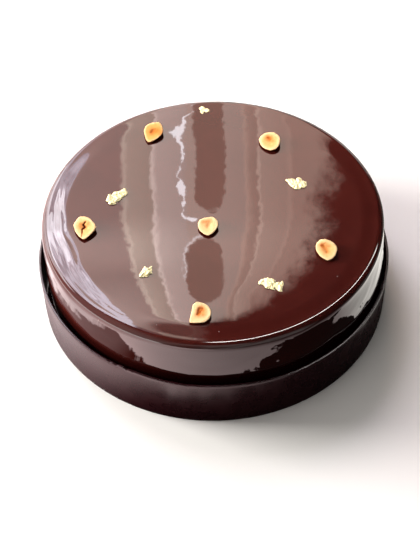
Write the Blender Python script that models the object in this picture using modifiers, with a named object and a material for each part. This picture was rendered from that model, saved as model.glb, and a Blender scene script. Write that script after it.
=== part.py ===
"""Chocolate entremet: a low round cake under a mirror glaze, standing in a thin chocolate collar,
with halved hazelnuts and scraps of gold leaf laid on the top.

Units are metres and +Z is up. The origin is the middle of the base, on the surface that the
cake stands on, and the side that is seen first faces -Y.
"""
import math
import random

import bmesh
import bpy

MM = 0.001

# Glazed cake
CAKE_RADIUS = 101.0 * MM       # side of the glaze, just under the rim
CAKE_HEIGHT = 63.0 * MM        # flat middle of the top
TOP_FLAT_RADIUS = 86.0 * MM    # the top stays level out to here
SHOULDER_FALL = 0.7 * MM       # how far the top has fallen where the rim starts to turn over
RIM_ROUNDING = 4.5 * MM        # radius of the turn from the top to the side
SIDE_SWELL = 0.7 * MM          # the glaze is this much fuller at half height
FOOT_EDGE = 0.6 * MM           # thickness of the glaze that has run out to the collar at the foot
CAKE_STEPS = 96                # sides of the turned cake
TOP_RINGS = 4                  # rings on the level middle
SHOULDER_RINGS = 3
RIM_RINGS = 5
SIDE_RINGS = 5
FOOT_RINGS = 3

# Chocolate collar
COLLAR_RADIUS = 106.0 * MM     # outside
COLLAR_THICKNESS = 1.5 * MM
COLLAR_HEIGHT = 31.8 * MM      # mean height, before the waves of the top edge
COLLAR_LEAN = 0.9 * MM         # the edge stands this much higher on one side than the mean
COLLAR_LEAN_AT = -105.0        # direction of that side, degrees
COLLAR_HUMP = 1.3 * MM         # one raised place in the edge
COLLAR_HUMP_AT = -118.0        # degrees
COLLAR_HUMP_SPREAD = 12.0      # degrees
# waves round the edge: count, height, start
COLLAR_WAVES = ((7, 0.25 * MM, 0.4), (13, 0.15 * MM, 1.9))
COLLAR_EDGE = 0.35 * MM        # rounding of the collar's edges
COLLAR_STEPS = 128

# Halved hazelnuts, cut face up
REST_GAP = 0.3 * MM            # clearance between pieces that rest against each other
NUT_HEIGHT = 2.2 * MM          # of the pressed-in nut above the glaze, up to the cut face
NUT_FLAT = 0.72                # share of the belly's depth that is left above its flat underside
NUT_HOLLOW = 0.6 * MM          # depth of the hollow in the middle of the cut face
NUT_HOLLOW_SPREAD = 0.34       # its radius, as a share of the nut's
NUT_RIM_DROP = 0.3 * MM        # the cut face is worn down this much at its rim
NUT_STEPS = 32
NUT_RINGS = 12
# name, middle, tilt (slope towards +X, +Y) and the reach of the cut face in sixteen even directions,
# anticlockwise from +X; millimetres
HAZELNUTS = (
    ("hazelnut_back_left", (-35.6, 67.4), (0.08, 0.10),
     (6.1, 6.4, 7.4, 8.8, 7.9, 8.0, 7.4, 6.6, 6.1, 6.1, 7.2, 9.0, 7.4, 6.3, 5.9, 6.0)),
    ("hazelnut_back_right", (36.4, 56.1), (0.13, 0.08),
     (6.7, 7.0, 7.2, 7.8, 7.8, 7.9, 7.6, 7.2, 6.3, 6.1, 6.2, 6.7, 7.6, 7.8, 7.3, 6.8)),
    ("hazelnut_left", (-74.4, -13.7), (0.09, 0.08),
     (6.8, 6.3, 6.2, 7.2, 8.4, 9.2, 7.9, 7.4, 6.1, 6.0, 6.2, 7.4, 8.9, 7.3, 6.6, 6.7)),
    ("hazelnut_centre", (-2.8, -15.1), (0.07, 0.12),
     (5.9, 6.3, 6.8, 7.2, 6.6, 6.8, 7.2, 6.6, 6.0, 5.7, 5.6, 6.1, 6.6, 5.9, 5.4, 5.3)),
    ("hazelnut_right", (63.9, -35.6), (0.06, 0.11),
     (6.2, 6.3, 6.4, 6.8, 7.6, 8.0, 7.5, 6.6, 5.9, 5.6, 5.8, 6.3, 7.5, 7.1, 6.5, 6.0)),
    ("hazelnut_front", (-7.7, -78.7), (0.05, 0.11),
     (5.5, 5.1, 5.2, 5.4, 6.0, 7.0, 6.5, 5.6, 5.5, 6.4, 9.4, 7.8, 7.2, 7.0, 6.4, 5.8)),
)

# Scraps of gold leaf, each of one or more crumpled flakes
LEAF_SINK = 0.3 * MM           # how far a flake reaches into the glaze
LEAF_STEPS = 12
LEAF_SEED = 7
# middle of the scrap, then its flakes: offset x, y, length, width, turn in degrees, rise; millimetres
LEAF_SCRAPS = (
    ((-3.9, 89.8), ((-1.0, 0.3, 6.8, 4.2, 80.0, 0.6), (1.7, -0.7, 3.4, 2.6, 0.0, 0.4))),
    ((-56.9, 12.8), ((1.0, 1.4, 14.0, 6.6, 52.0, 1.3), (-3.2, -3.9, 6.4, 4.4, 20.0, 1.7),
                     (-4.4, 0.6, 3.0, 4.6, 20.0, 0.8))),
    ((50.5, 20.6), ((0.6, -1.2, 12.6, 6.6, -12.0, 1.1), (-4.2, 3.0, 4.8, 3.4, 15.0, 0.7),
                    (2.0, 3.4, 3.2, 3.4, 0.0, 0.9))),
    ((-38.6, -46.8), ((-0.7, -1.2, 8.0, 6.4, 50.0, 1.0), (2.5, 1.2, 6.2, 2.2, 85.0, 1.6))),
    ((31.2, -58.8), ((-2.0, 1.2, 10.4, 7.4, -14.0, 1.2), (3.9, -2.4, 5.8, 4.2, -50.0, 0.8),
                     (5.0, 0.8, 4.4, 4.0, 30.0, 1.0))),
)

GLAZE_COLOUR = (0.048, 0.009, 0.006)
COLLAR_COLOUR = (0.070, 0.038, 0.032)
NUT_COLOUR = (0.74, 0.53, 0.22)


def make_collection(name):
    """New collection, linked to the scene."""
    collection = bpy.data.collections.new(name)
    bpy.context.scene.collection.children.link(collection)
    return collection


def make_material(name, colour, roughness, coat=0.0):
    """Plain food surface with an optional wet coat."""
    material = bpy.data.materials.new(name)
    material.use_nodes = True
    shader = material.node_tree.nodes["Principled BSDF"]
    shader.inputs["Base Color"].default_value = (*colour, 1.0)
    shader.inputs["Roughness"].default_value = roughness
    shader.inputs["Metallic"].default_value = 0.0
    shader.inputs["Coat Weight"].default_value = coat
    return material


def make_object(name, mesh, collection, material):
    """Object of its own in a collection, with one material."""
    mesh.materials.clear()
    mesh.materials.append(material)
    thing = bpy.data.objects.new(name, mesh)
    collection.objects.link(thing)
    return thing


def apply_modifiers(thing):
    """Replace the object's mesh by what its modifiers make of it."""
    depsgraph = bpy.context.evaluated_depsgraph_get()
    finished = bpy.data.meshes.new_from_object(thing.evaluated_get(depsgraph))
    thing.modifiers.clear()
    thing.data = finished


def shade(mesh, angle=35.0):
    """Smooth shading, with edges sharper than the angle left crisp."""
    mesh.shade_smooth()
    mesh.set_sharp_from_angle(angle=math.radians(angle))


def smooth_step(value):
    """Ease from 0 to 1."""
    value = min(max(value, 0.0), 1.0)
    return value * value * (3.0 - 2.0 * value)


def top_height(radius):
    """Height of the glaze at a distance from the middle of the top."""
    rim_start = CAKE_RADIUS - RIM_ROUNDING
    return CAKE_HEIGHT - SHOULDER_FALL * smooth_step(
        (radius - TOP_FLAT_RADIUS) / (rim_start - TOP_FLAT_RADIUS))


def cake_profile():
    """Half section of the cake, from the middle of the top over the rim and down to the base."""
    rim_start = CAKE_RADIUS - RIM_ROUNDING
    rim_level = top_height(rim_start) - RIM_ROUNDING
    foot_reach = COLLAR_RADIUS - COLLAR_THICKNESS - REST_GAP - CAKE_RADIUS
    foot_level = FOOT_EDGE + foot_reach
    radii = [TOP_FLAT_RADIUS * ring / TOP_RINGS for ring in range(TOP_RINGS + 1)]
    radii += [TOP_FLAT_RADIUS + (rim_start - TOP_FLAT_RADIUS) * ring / SHOULDER_RINGS
              for ring in range(1, SHOULDER_RINGS + 1)]
    points = [(radius, top_height(radius)) for radius in radii]
    for ring in range(1, RIM_RINGS + 1):
        angle = math.pi / 2 * (1 - ring / RIM_RINGS)
        points.append((rim_start + RIM_ROUNDING * math.cos(angle),
                       rim_level + RIM_ROUNDING * math.sin(angle)))
    for ring in range(1, SIDE_RINGS + 1):
        share = ring / SIDE_RINGS
        points.append((CAKE_RADIUS + SIDE_SWELL * math.sin(math.pi * share),
                       rim_level + (foot_level - rim_level) * share))
    for ring in range(1, FOOT_RINGS + 1):
        angle = math.pi * (1 + ring / FOOT_RINGS / 2)
        points.append((CAKE_RADIUS + foot_reach * (1 + math.cos(angle)),
                       foot_level + foot_reach * math.sin(angle)))
    points.append((CAKE_RADIUS + foot_reach, 0.0))
    points.append((0.0, 0.0))
    return points


def turned_mesh(name, profile):
    """Closed edge line in the XZ plane, ready to be turned round Z."""
    mesh = bpy.data.meshes.new(name)
    edges = [(index, index + 1) for index in range(len(profile) - 1)]
    mesh.from_pydata([(radius, 0.0, height) for radius, height in profile], edges, [])
    return mesh


def flake_mesh(name, flake, level, draw):
    """Low crumpled scrap: a torn outline with an uneven top, reaching a little into the glaze."""
    offset_x, offset_y, length, width, turn, rise = flake
    mesh = bpy.data.meshes.new(name)
    shell = bmesh.new()
    bmesh.ops.create_cone(shell, cap_ends=True, cap_tris=True, segments=LEAF_STEPS,
                          radius1=1.0, radius2=1.0, depth=2.0)
    tears = [draw.uniform(0.82, 1.12) for _ in range(LEAF_STEPS)]
    crumples = [draw.uniform(0.35, 0.9) for _ in range(LEAF_STEPS)]
    turned = math.radians(turn)
    for vert in shell.verts:
        angle = math.atan2(vert.co.y, vert.co.x)
        on_rim = math.hypot(vert.co.x, vert.co.y) > 0.5
        step = round(angle / (2 * math.pi) * LEAF_STEPS) % LEAF_STEPS
        reach = tears[step] if on_rim else 0.0
        along = reach * math.cos(angle) * length / 2
        across = reach * math.sin(angle) * width / 2
        if vert.co.z < 0:
            height = level - LEAF_SINK
        else:
            height = level + rise * MM * (crumples[step] if on_rim else 1.0)
        vert.co = ((offset_x + along * math.cos(turned) - across * math.sin(turned)) * MM,
                   (offset_y + along * math.sin(turned) + across * math.cos(turned)) * MM,
                   height)
    shell.to_mesh(mesh)
    shell.free()
    return mesh


def make_leaf_scraps(collection, material):
    """Every flake of gold leaf where it lies on the glaze."""
    draw = random.Random(LEAF_SEED)
    for number, (middle, flakes) in enumerate(LEAF_SCRAPS):
        level = top_height(math.hypot(*middle) * MM)
        for flake in flakes:
            name = f"leaf_flake_{number}"
            thing = make_object(name, flake_mesh(name, flake, level, draw), collection, material)
            thing.location = (middle[0] * MM, middle[1] * MM, 0.0)
            thing.display_type = "WIRE"
            thing.hide_render = True


def make_cake(collection):
    """Turned glazed cake with the gold leaf joined to its top."""
    material = make_material("mirror_glaze", GLAZE_COLOUR, 0.05, coat=1.0)
    cake = make_object("glazed_cake", turned_mesh("glazed_cake", cake_profile()), collection, material)
    screw = cake.modifiers.new("turn", "SCREW")
    screw.axis = "Z"
    screw.steps = CAKE_STEPS
    screw.render_steps = CAKE_STEPS
    screw.use_merge_vertices = True
    screw.merge_threshold = 0.01 * MM
    scraps = make_collection("gold_leaf")
    make_leaf_scraps(scraps, material)
    union = cake.modifiers.new("gold_leaf", "BOOLEAN")
    union.operation = "UNION"
    union.solver = "EXACT"
    union.operand_type = "COLLECTION"
    union.collection = scraps
    apply_modifiers(cake)
    for scrap in list(scraps.objects):
        bpy.data.objects.remove(scrap)
    bpy.data.collections.remove(scraps)
    shade(cake.data)


def collar_edge_height(angle):
    """Height of the collar's hand-cut top edge in one direction."""
    lean = COLLAR_LEAN * math.cos(angle - math.radians(COLLAR_LEAN_AT))
    turn = math.radians(COLLAR_HUMP_AT)
    gap = math.degrees(math.remainder(angle - turn, 2 * math.pi))
    hump = COLLAR_HUMP * math.exp(-(gap / COLLAR_HUMP_SPREAD) ** 2)
    waves = sum(size * math.sin(count * angle + start) for count, size, start in COLLAR_WAVES)
    return COLLAR_HEIGHT + lean + hump + waves


def make_collar(collection):
    """Upright band round the foot of the cake, given its wall by a solidified ring."""
    mesh = bpy.data.meshes.new("chocolate_collar")
    band = bmesh.new()
    bmesh.ops.create_circle(band, segments=COLLAR_STEPS, radius=COLLAR_RADIUS)
    raised = bmesh.ops.extrude_edge_only(band, edges=band.edges[:])
    for part in raised["geom"]:
        if isinstance(part, bmesh.types.BMVert):
            part.co.z = collar_edge_height(math.atan2(part.co.y, part.co.x))
    bmesh.ops.recalc_face_normals(band, faces=band.faces)
    band.to_mesh(mesh)
    band.free()
    material = make_material("collar_chocolate", COLLAR_COLOUR, 0.35)
    collar = make_object("chocolate_collar", mesh, collection, material)
    wall = collar.modifiers.new("wall", "SOLIDIFY")
    wall.thickness = COLLAR_THICKNESS
    wall.offset = -1.0
    bevel = collar.modifiers.new("soft_edges", "BEVEL")
    bevel.width = COLLAR_EDGE
    bevel.segments = 2
    bevel.limit_method = "ANGLE"
    bevel.angle_limit = math.radians(50)
    shade(mesh)


def face_reach(reaches, angle):
    """Distance from the middle of a nut to the rim of its cut face, eased between its reaches."""
    place = angle / (2 * math.pi) * len(reaches)
    start = math.floor(place)
    share = place - start
    before, first, second, after = (reaches[(start + step) % len(reaches)] for step in (-1, 0, 1, 2))
    bend = share * (second - before + share * (2 * before - 5 * first + 4 * second - after
                    + share * (3 * (first - second) + after - before)))
    return (first + bend / 2) * MM


def nut_mesh(name, tilt, reaches):
    """Half nut: a round belly with a flat underside, and a cut face with a hollow in it."""
    rim_height = NUT_HEIGHT - NUT_RIM_DROP
    mesh = bpy.data.meshes.new(name)
    nut = bmesh.new()
    bmesh.ops.create_uvsphere(nut, u_segments=NUT_STEPS, v_segments=NUT_RINGS, radius=1.0)
    for vert in nut.verts:
        share = math.hypot(vert.co.x, vert.co.y)
        angle = math.atan2(vert.co.y, vert.co.x)
        reach = face_reach(reaches, angle) * share
        if vert.co.z > 0:
            hollow = NUT_HOLLOW * math.exp(-(share / NUT_HOLLOW_SPREAD) ** 2)
            height = NUT_HEIGHT - hollow
        else:
            belly = min(-vert.co.z / NUT_FLAT, 1.0)
            height = rim_height * (1.0 - belly)
        x = reach * math.cos(angle)
        y = reach * math.sin(angle)
        lift = height / rim_height * (tilt[0] * x + tilt[1] * y)
        vert.co = (x, y, height + lift)
    nut.to_mesh(mesh)
    nut.free()
    shade(mesh, 50.0)
    return mesh


def make_nuts(collection):
    """The halved hazelnuts, each resting just clear of the glaze."""
    material = make_material("hazelnut", NUT_COLOUR, 0.55)
    for name, middle, tilt, reaches in HAZELNUTS:
        nut = make_object(name, nut_mesh(name, tilt, reaches), collection, material)
        nut.location = (middle[0] * MM, middle[1] * MM, CAKE_HEIGHT + REST_GAP)


def main():
    for thing in list(bpy.data.objects):
        bpy.data.objects.remove(thing)
    entremet = make_collection("chocolate_entremet")
    make_cake(entremet)
    make_collar(entremet)
    make_nuts(entremet)


main()
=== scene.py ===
"""Looks of a chocolate entremet: mirror glaze, gold leaf, halved hazelnuts and a chocolate collar.

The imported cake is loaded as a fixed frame. Each operator makes one piece, or one group of like
pieces, in that frame, in metres, with +Z up and the side that is seen first facing -Y.
"""

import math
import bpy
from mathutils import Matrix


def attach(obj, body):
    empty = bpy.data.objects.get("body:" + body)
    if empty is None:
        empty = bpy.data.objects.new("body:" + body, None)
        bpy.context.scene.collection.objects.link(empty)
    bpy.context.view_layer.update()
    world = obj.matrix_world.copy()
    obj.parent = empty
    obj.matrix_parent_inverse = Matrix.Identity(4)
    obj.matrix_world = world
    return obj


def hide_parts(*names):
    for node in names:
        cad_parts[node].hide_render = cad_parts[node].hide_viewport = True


bl_info = {
    "name": "Chocolate entremet",
    "version": (1, 0, 0),
    "blender": (4, 5, 0),
    "location": "3D View > Sidebar > Entremet",
    "description": "Models a glazed entremet with its collar, hazelnuts, gold leaf and stage",
    "category": "Add Mesh",
}

import bpy
from bpy.props import FloatProperty, FloatVectorProperty, IntProperty, PointerProperty
from mathutils import Matrix, Vector, noise

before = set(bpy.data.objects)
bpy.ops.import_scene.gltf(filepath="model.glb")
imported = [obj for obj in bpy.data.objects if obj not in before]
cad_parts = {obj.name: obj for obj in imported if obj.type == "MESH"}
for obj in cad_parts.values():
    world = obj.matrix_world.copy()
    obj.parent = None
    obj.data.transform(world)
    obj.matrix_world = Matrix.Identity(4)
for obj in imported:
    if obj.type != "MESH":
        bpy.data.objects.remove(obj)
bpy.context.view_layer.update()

MM = 0.001
TINY = 1e-6
SMOOTH_ANGLE = math.radians(40.0)     # flatter edges are shaded smooth

# ---------------------------------------------------------------- sizes that belong to the cake
CAKE_HEIGHT = 63.0 * MM         # flat middle of the top
CAKE_RADIUS = 101.0 * MM        # side of the glaze, just under the rim
TOP_FLAT_RADIUS = 86.0 * MM     # the top stays level out to here
SHOULDER_FALL = 0.7 * MM        # how far it has fallen where the rim starts to turn over
RIM_ROUNDING = 4.5 * MM
RIM_START = CAKE_RADIUS - RIM_ROUNDING
SIDE_SWELL = 0.7 * MM
FOOT_REACH = 104.2 * MM         # the glaze has run out to here at the foot
FOOT_EDGE = 0.6 * MM
FOOT_STEPS, SIDE_STEPS, RIM_STEPS = 6, 30, 14
TOP_RINGS = ((80.0 * MM, 18), (2.5 * MM, 31))       # from the rim inwards: radius, steps to get there

COLLAR_RADIUS = 106.0 * MM
COLLAR_THICKNESS = 1.5 * MM
COLLAR_HEIGHT = 31.8 * MM
COLLAR_LEAN = (0.9 * MM, -105.0)            # how much the edge rises to one side, and where
COLLAR_HUMP = (1.3 * MM, -118.0, 12.0)      # one raised place: height, where, spread in degrees
COLLAR_WAVES = ((7, 0.25 * MM, 0.4), (13, 0.15 * MM, 1.9))     # how many, height, start
COLLAR_EDGE = 0.35 * MM                     # softness of the band's edges
COLLAR_BEND = (0.10 * MM, 40 * MM)          # how far the bent wall is off true, and over what size
# nicks in the hand-cut edge: where in degrees, width in degrees, depth
COLLAR_NICKS = ((-124.6, 0.5, 0.5 * MM), (-122.1, 0.45, 0.8 * MM), (-120.2, 0.6, -0.5 * MM),
                (-118.3, 0.5, 0.7 * MM), (-116.4, 0.5, 0.4 * MM), (-99.0, 0.7, 0.3 * MM),
                (-61.0, 0.8, 0.3 * MM), (-20.0, 0.7, 0.4 * MM), (38.0, 0.8, 0.4 * MM),
                (95.0, 0.6, 0.5 * MM), (141.0, 0.8, 0.4 * MM), (-165.0, 0.7, 0.3 * MM))

# ---------------------------------------------------------------- hazelnuts
NUT_HEIGHT = 2.5 * MM           # from the glaze that the nut is pressed into up to its cut face
NUT_RIM_DROP = 0.3 * MM         # the cut face is worn down this much at its rim
NUT_FLAT = 0.72                 # share of the belly's depth that stands out of the glaze
NUT_HOLLOW = 0.35 * MM
NUT_HOLLOW_SPREAD = 0.34        # as a share of the nut's reach
NUT_BALL = 7.0 * MM             # radius of the round ball that a nut is cut from
NUT_SEGMENTS, NUT_BANDS = 96, 40
NUT_INSETS = (0.10, 0.14) + (0.42,) * 15    # rings of the cut face, from its rim inwards; millimetres
NUT_CROWN = 0.07                # share of the reach over which the worn rim rises
NUT_GRAIN = (0.10 * MM, 2.2 * MM)           # unevenness of the cut face: height and size
NUT_TOAST = (0.35, 0.85, 0.5)   # toast at the rim, how much more there is further in, and how far in
NUT_EDGE, NUT_SKIN = 0.999, 0.98        # shares of the reach: the rim itself, and where the skin begins
CRACK_DEPTH = 0.5 * MM
# name, middle, tilt towards +X and +Y, reach of the cut face in sixteen even directions
# anticlockwise from +X, toast of the flesh from pale to orange; millimetres
HAZELNUTS = (
    ("hazelnut_back_left", (-35.6, 67.4), (0.08, 0.10),
     (6.1, 6.4, 7.4, 8.8, 7.9, 8.0, 7.4, 6.6, 6.1, 6.1, 7.2, 9.0, 7.4, 6.3, 5.9, 6.0), 1.25),
    ("hazelnut_back_right", (36.4, 56.1), (0.13, 0.08),
     (6.7, 7.0, 7.2, 7.8, 7.8, 7.9, 7.6, 7.2, 6.3, 6.1, 6.2, 6.7, 7.6, 7.8, 7.3, 6.8), 0.72),
    ("hazelnut_left", (-74.4, -13.7), (0.09, 0.08),
     (6.8, 6.3, 6.2, 7.2, 8.4, 9.2, 7.9, 7.4, 6.1, 6.0, 6.2, 7.4, 8.9, 7.3, 6.6, 6.7), 0.64),
    ("hazelnut_centre", (-2.8, -15.1), (0.07, 0.12),
     (5.9, 6.3, 6.8, 7.2, 6.6, 6.8, 7.2, 6.6, 6.0, 5.7, 5.6, 6.1, 6.6, 5.9, 5.4, 5.3), 0.42),
    ("hazelnut_right", (63.9, -35.6), (0.06, 0.11),
     (6.2, 6.3, 6.4, 6.8, 7.6, 8.0, 7.5, 6.6, 5.9, 5.6, 5.8, 6.3, 7.5, 7.1, 6.5, 6.0), 0.62),
    ("hazelnut_front", (-7.7, -78.7), (0.05, 0.11),
     (5.5, 5.1, 5.2, 5.4, 6.0, 7.0, 6.5, 5.6, 5.5, 6.4, 9.4, 7.8, 7.2, 7.0, 6.4, 5.8), 0.38),
)
# marks on each cut face: the line that a mark follows, its width and its strength; millimetres
ROASTED = {
    "hazelnut_back_left": (((-0.6, 0.2), (1.8, 0.6), 3.0, 1.0), ((1.6, 0.2), (4.6, -1.2), 2.6, 0.7)),
    "hazelnut_back_right": (((-0.9, 3.2), (0.2, 1.8), 2.0, 1.0), ((0.4, 1.6), (1.6, 0.0), 1.6, 0.6)),
    "hazelnut_left": (((-2.4, 2.4), (-2.2, 0.4), 1.5, 0.7), ((1.4, 2.4), (0.2, -0.8), 1.4, 0.6)),
    "hazelnut_centre": (((-2.8, 3.4), (1.0, 3.4), 1.5, 0.65), ((-0.9, 2.6), (-0.9, 0.6), 1.6, 0.5)),
    "hazelnut_right": (((-2.4, 3.2), (-1.6, 2.2), 1.5, 1.0), ((-1.4, 2.2), (0.3, -1.2), 1.7, 0.75),
                       ((-1.2, 3.2), (1.4, 2.2), 1.3, 0.55)),
    "hazelnut_front": (((0.2, 1.6), (-1.4, -1.6), 2.0, 1.0), ((0.9, 1.0), (0.7, -1.6), 1.9, 0.85)),
}
SCORCHED = {
    "hazelnut_back_left": (((-1.8, -0.3), (-0.6, 1.9), 0.8, 0.40), ((-0.6, 1.9), (1.2, 2.4), 0.7, 0.30)),
    "hazelnut_back_right": (((-1.0, 3.4), (-0.3, 2.9), 0.9, 0.45),),
    "hazelnut_left": (((0.3, 4.0), (-0.9, 2.3), 0.5, 1.0), ((-0.9, 2.3), (0.2, 0.5), 0.65, 1.1),
                      ((0.2, 0.5), (-1.3, -1.3), 0.65, 1.1), ((-1.3, -1.3), (-1.3, -4.1), 0.4, 1.0),
                      ((-1.3, -4.1), (-1.6, -7.0), 0.3, 0.6)),
    "hazelnut_centre": (((-1.2, 3.2), (-0.8, 2.6), 0.8, 0.08),),
    "hazelnut_right": (((-2.6, 3.0), (-2.0, 3.0), 0.9, 0.48), ((-2.0, 3.5), (-0.3, 4.8), 0.5, 0.30),
                       ((-0.1, -1.3), (-0.1, -1.7), 0.8, 0.35)),
    "hazelnut_front": (((0.7, 1.9), (-1.0, 2.2), 0.7, 0.45), ((-1.0, 2.2), (-1.7, 0.4), 0.8, 0.55),
                       ((-1.7, 0.4), (-2.1, -1.9), 0.7, 0.45)),
}

# ---------------------------------------------------------------- gold leaf
# name, middle, then its flakes: how far the flake stands up and its torn outline; millimetres
LEAF_SCRAPS = (
    ("gold_leaf_back", (-3.9, 89.8), (
        (0.6, ((-2.6, -0.2), (-2.1, -3.1), (-1.3, -4.2), (-0.3, -3.1), (0.6, -1.7), (0.8, 0.6),
               (0.5, 2.1), (-0.5, 3.4), (-1.7, 3.3), (-2.2, 2.2), (-3.1, 2.6))),
        (0.4, ((0.4, -1.7), (1.0, -2.6), (2.9, -2.3), (3.5, -1.0), (3.2, 0.3), (2.0, 1.1), (0.7, 0.9))),
    )),
    ("gold_leaf_left", (-56.9, 12.8), (
        (1.3, ((-2.8, -1.0), (-2.5, -3.3), (-1.0, -4.4), (1.0, -3.8), (2.4, -2.1), (3.6, -0.5),
               (5.0, 0.6), (6.3, 2.3), (6.1, 3.9), (5.3, 6.2), (4.5, 6.9), (2.9, 5.9), (1.4, 4.3),
               (-0.4, 4.6), (-2.0, 3.5), (-3.0, 1.7))),
        (1.6, ((-5.8, -4.0), (-4.7, -4.5), (-4.9, -5.4), (-3.7, -6.6), (-1.4, -6.5), (0.0, -5.6),
               (-1.4, -4.2), (-1.8, -1.9), (-2.7, 0.6), (-3.5, 1.7), (-4.4, 2.5), (-5.1, 1.6),
               (-5.5, -0.5), (-6.2, -2.7))),
    )),
    ("gold_leaf_right", (50.5, 20.6), (
        (1.1, ((-5.1, 1.1), (-3.8, -1.9), (-2.6, -3.5), (-1.0, -4.9), (0.5, -5.0), (2.6, -4.4),
               (4.8, -3.3), (6.5, -1.8), (6.1, 1.5), (4.2, 1.6), (2.8, 2.0), (1.3, 2.1), (-0.3, 2.1),
               (-0.7, 3.6), (-1.8, 4.1), (-3.4, 4.1), (-4.8, 3.4), (-5.5, 3.9), (-6.4, 2.8))),
        (0.9, ((0.3, 1.0), (2.2, 0.4), (3.7, 1.5), (3.5, 3.9), (2.9, 4.7), (1.5, 4.9), (0.2, 4.0),
               (-0.1, 2.1))),
    )),
    ("gold_leaf_front_left", (-38.6, -46.8), (
        (1.5, ((-3.4, -3.9), (-2.6, -4.5), (-0.8, -4.4), (0.8, -4.0), (2.0, -3.2), (2.6, -2.2),
               (3.6, -1.9), (3.5, 0.9), (3.5, 3.4), (3.2, 4.0), (2.7, 3.5), (2.0, 2.4), (1.2, 2.2),
               (0.6, 2.6), (-0.3, 3.6), (-1.0, 2.5), (-1.8, 0.9), (-2.8, -1.2), (-3.5, -2.7))),
    )),
    ("gold_leaf_front_right", (31.2, -58.8), (
        (1.2, ((-6.6, -0.1), (-5.9, 0.5), (-4.6, -0.2), (-3.6, -1.3), (-3.0, -3.0), (-1.6, -3.0),
               (0.2, -3.4), (1.7, -4.0), (1.8, -2.0), (2.9, -0.6), (3.3, 0.7), (2.3, 1.2), (2.5, 2.5),
               (1.8, 3.5), (0.1, 4.4), (-1.6, 5.0), (-3.0, 4.5), (-4.7, 3.9), (-6.1, 2.8), (-7.1, 1.0))),
        (1.0, ((1.7, -1.5), (2.3, -2.9), (3.2, -4.2), (4.5, -5.3), (5.9, -5.2), (6.0, -3.2),
               (6.4, -2.1), (6.1, -1.4), (7.0, -0.6), (6.9, 1.3), (6.5, 2.4), (5.4, 1.2), (4.2, 1.6),
               (3.2, 1.4), (1.9, 0.3))),
    )),
)
LEAF_GRAIN = 0.36 * MM          # spacing of the foil's net
LEAF_TEAR = (0.45, 0.9)         # raggedness of the torn edges: amount and size, millimetres
LEAF_CLEAR = 0.04 * MM          # gap under the lowest folds
LEAF_FOLDS = ((2.6, 11, 0.65), (1.1, 23, 0.25))     # size of the folds in mm, seed, share of the height
LEAF_SHARPNESS = 1.7            # of the folds
LEAF_RIM = (0.30, 1.1)          # share of the height at the torn edge, and how far in it is full, in mm

# ---------------------------------------------------------------- camera
CAMERA_PLACE = (-0.00256, -0.47684, 0.55026)
CAMERA_TURN = (40.9244, 0.8904, -1.0269)    # degrees
CAMERA_LENS, CAMERA_SENSOR = 74.35, 36.0    # millimetres, on the long side
CAMERA_NEAR, CAMERA_FAR = 0.01, 50.0


# ================================================================ settings
def colour_prop(name, description, default):
    return FloatVectorProperty(name=name, description=description, subtype="COLOR", size=3,
                               min=0.0, max=1.0, default=default)


def length_prop(name, description, default):
    return FloatProperty(name=name, description=description, subtype="DISTANCE", unit="LENGTH",
                         min=0.0, precision=5, default=default)


def roughness_prop(description, default):
    return FloatProperty(name="Roughness", description=description, subtype="FACTOR", min=0.0, max=1.0,
                         default=default)


def sides_prop(description, low, high, default):
    return IntProperty(name="Sides", description=description, min=low, max=high, default=default)


def light_prop(name, description, default):
    return FloatProperty(name=name, description="Brightness of " + description, min=0.0, default=default)


class GlazeSettings(bpy.types.PropertyGroup):
    """Sizes and colours of the mirror glaze."""
    colour: colour_prop("Glaze colour", "Body of the cocoa glaze", (0.056, 0.0085, 0.0060))
    deep_colour: colour_prop("Deep colour", "Where the glaze lies thicker", (0.046, 0.0065, 0.0048))
    # painted shade: a near-black glaze colour for the band just above the collar, where the collar shades the
    # glaze
    foot_shade_colour: colour_prop("Foot colour", "Glaze that has gathered thick above the collar",
                             (0.010, 0.0010, 0.0009))
    roughness: roughness_prop("Roughness of the wet gloss", 0.015)
    wave: length_prop("Wave height", "Height of the slow waves in the top", 0.030 * MM)
    ripple: length_prop("Shoulder ripple", "Height of the runs along the left shoulder", 0.11 * MM)
    sides: sides_prop("Steps round the cake", 48, 512, 256)


class LeafSettings(bpy.types.PropertyGroup):
    """Sizes and colours of the gold leaf."""
    colour: colour_prop("Gold colour", "Pale leaf gold", (0.88, 0.80, 0.45))
    # painted shade: darker gold that stands in for the shade in the leaf's folds
    crease_shade_colour: colour_prop("Crease colour", "Gold in the folds", (0.62, 0.43, 0.17))
    thickness: length_prop("Thickness", "Thickness of a folded flake", 0.10 * MM)


class CollarSettings(bpy.types.PropertyGroup):
    """Sizes and colours of the chocolate collar."""
    colour: colour_prop("Chocolate colour", "Tempered dark chocolate", (0.023, 0.0046, 0.0064))
    bloom_colour: colour_prop("Bloom colour", "Faint dull patches", (0.026, 0.0065, 0.0085))
    roughness: roughness_prop("Roughness of the satin face", 0.25)
    thickness: length_prop("Thickness", "Thickness of the band", COLLAR_THICKNESS)
    sides: sides_prop("Steps round the collar", 64, 720, 480)


class NutSettings(bpy.types.PropertyGroup):
    """Sizes and colours of the halved hazelnuts."""
    flesh_colour: colour_prop("Flesh colour", "Pale cut flesh", (0.87, 0.67, 0.38))
    toast_colour: colour_prop("Toasted colour", "Flesh toasted to orange", (0.78, 0.36, 0.10))
    roast_colour: colour_prop("Roast colour", "Roasted middle", (0.60, 0.17, 0.028))
    deep_colour: colour_prop("Deep roast colour", "Red-brown marks", (0.34, 0.075, 0.012))
    scorch_colour: colour_prop("Scorch colour", "Darkest cracks", (0.040, 0.006, 0.003))
    skin_colour: colour_prop("Skin colour", "Rubbed brown skin of the belly", (0.10, 0.033, 0.014))
    hollow: length_prop("Hollow", "Depth of the hollow in the cut face", NUT_HOLLOW)


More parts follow.
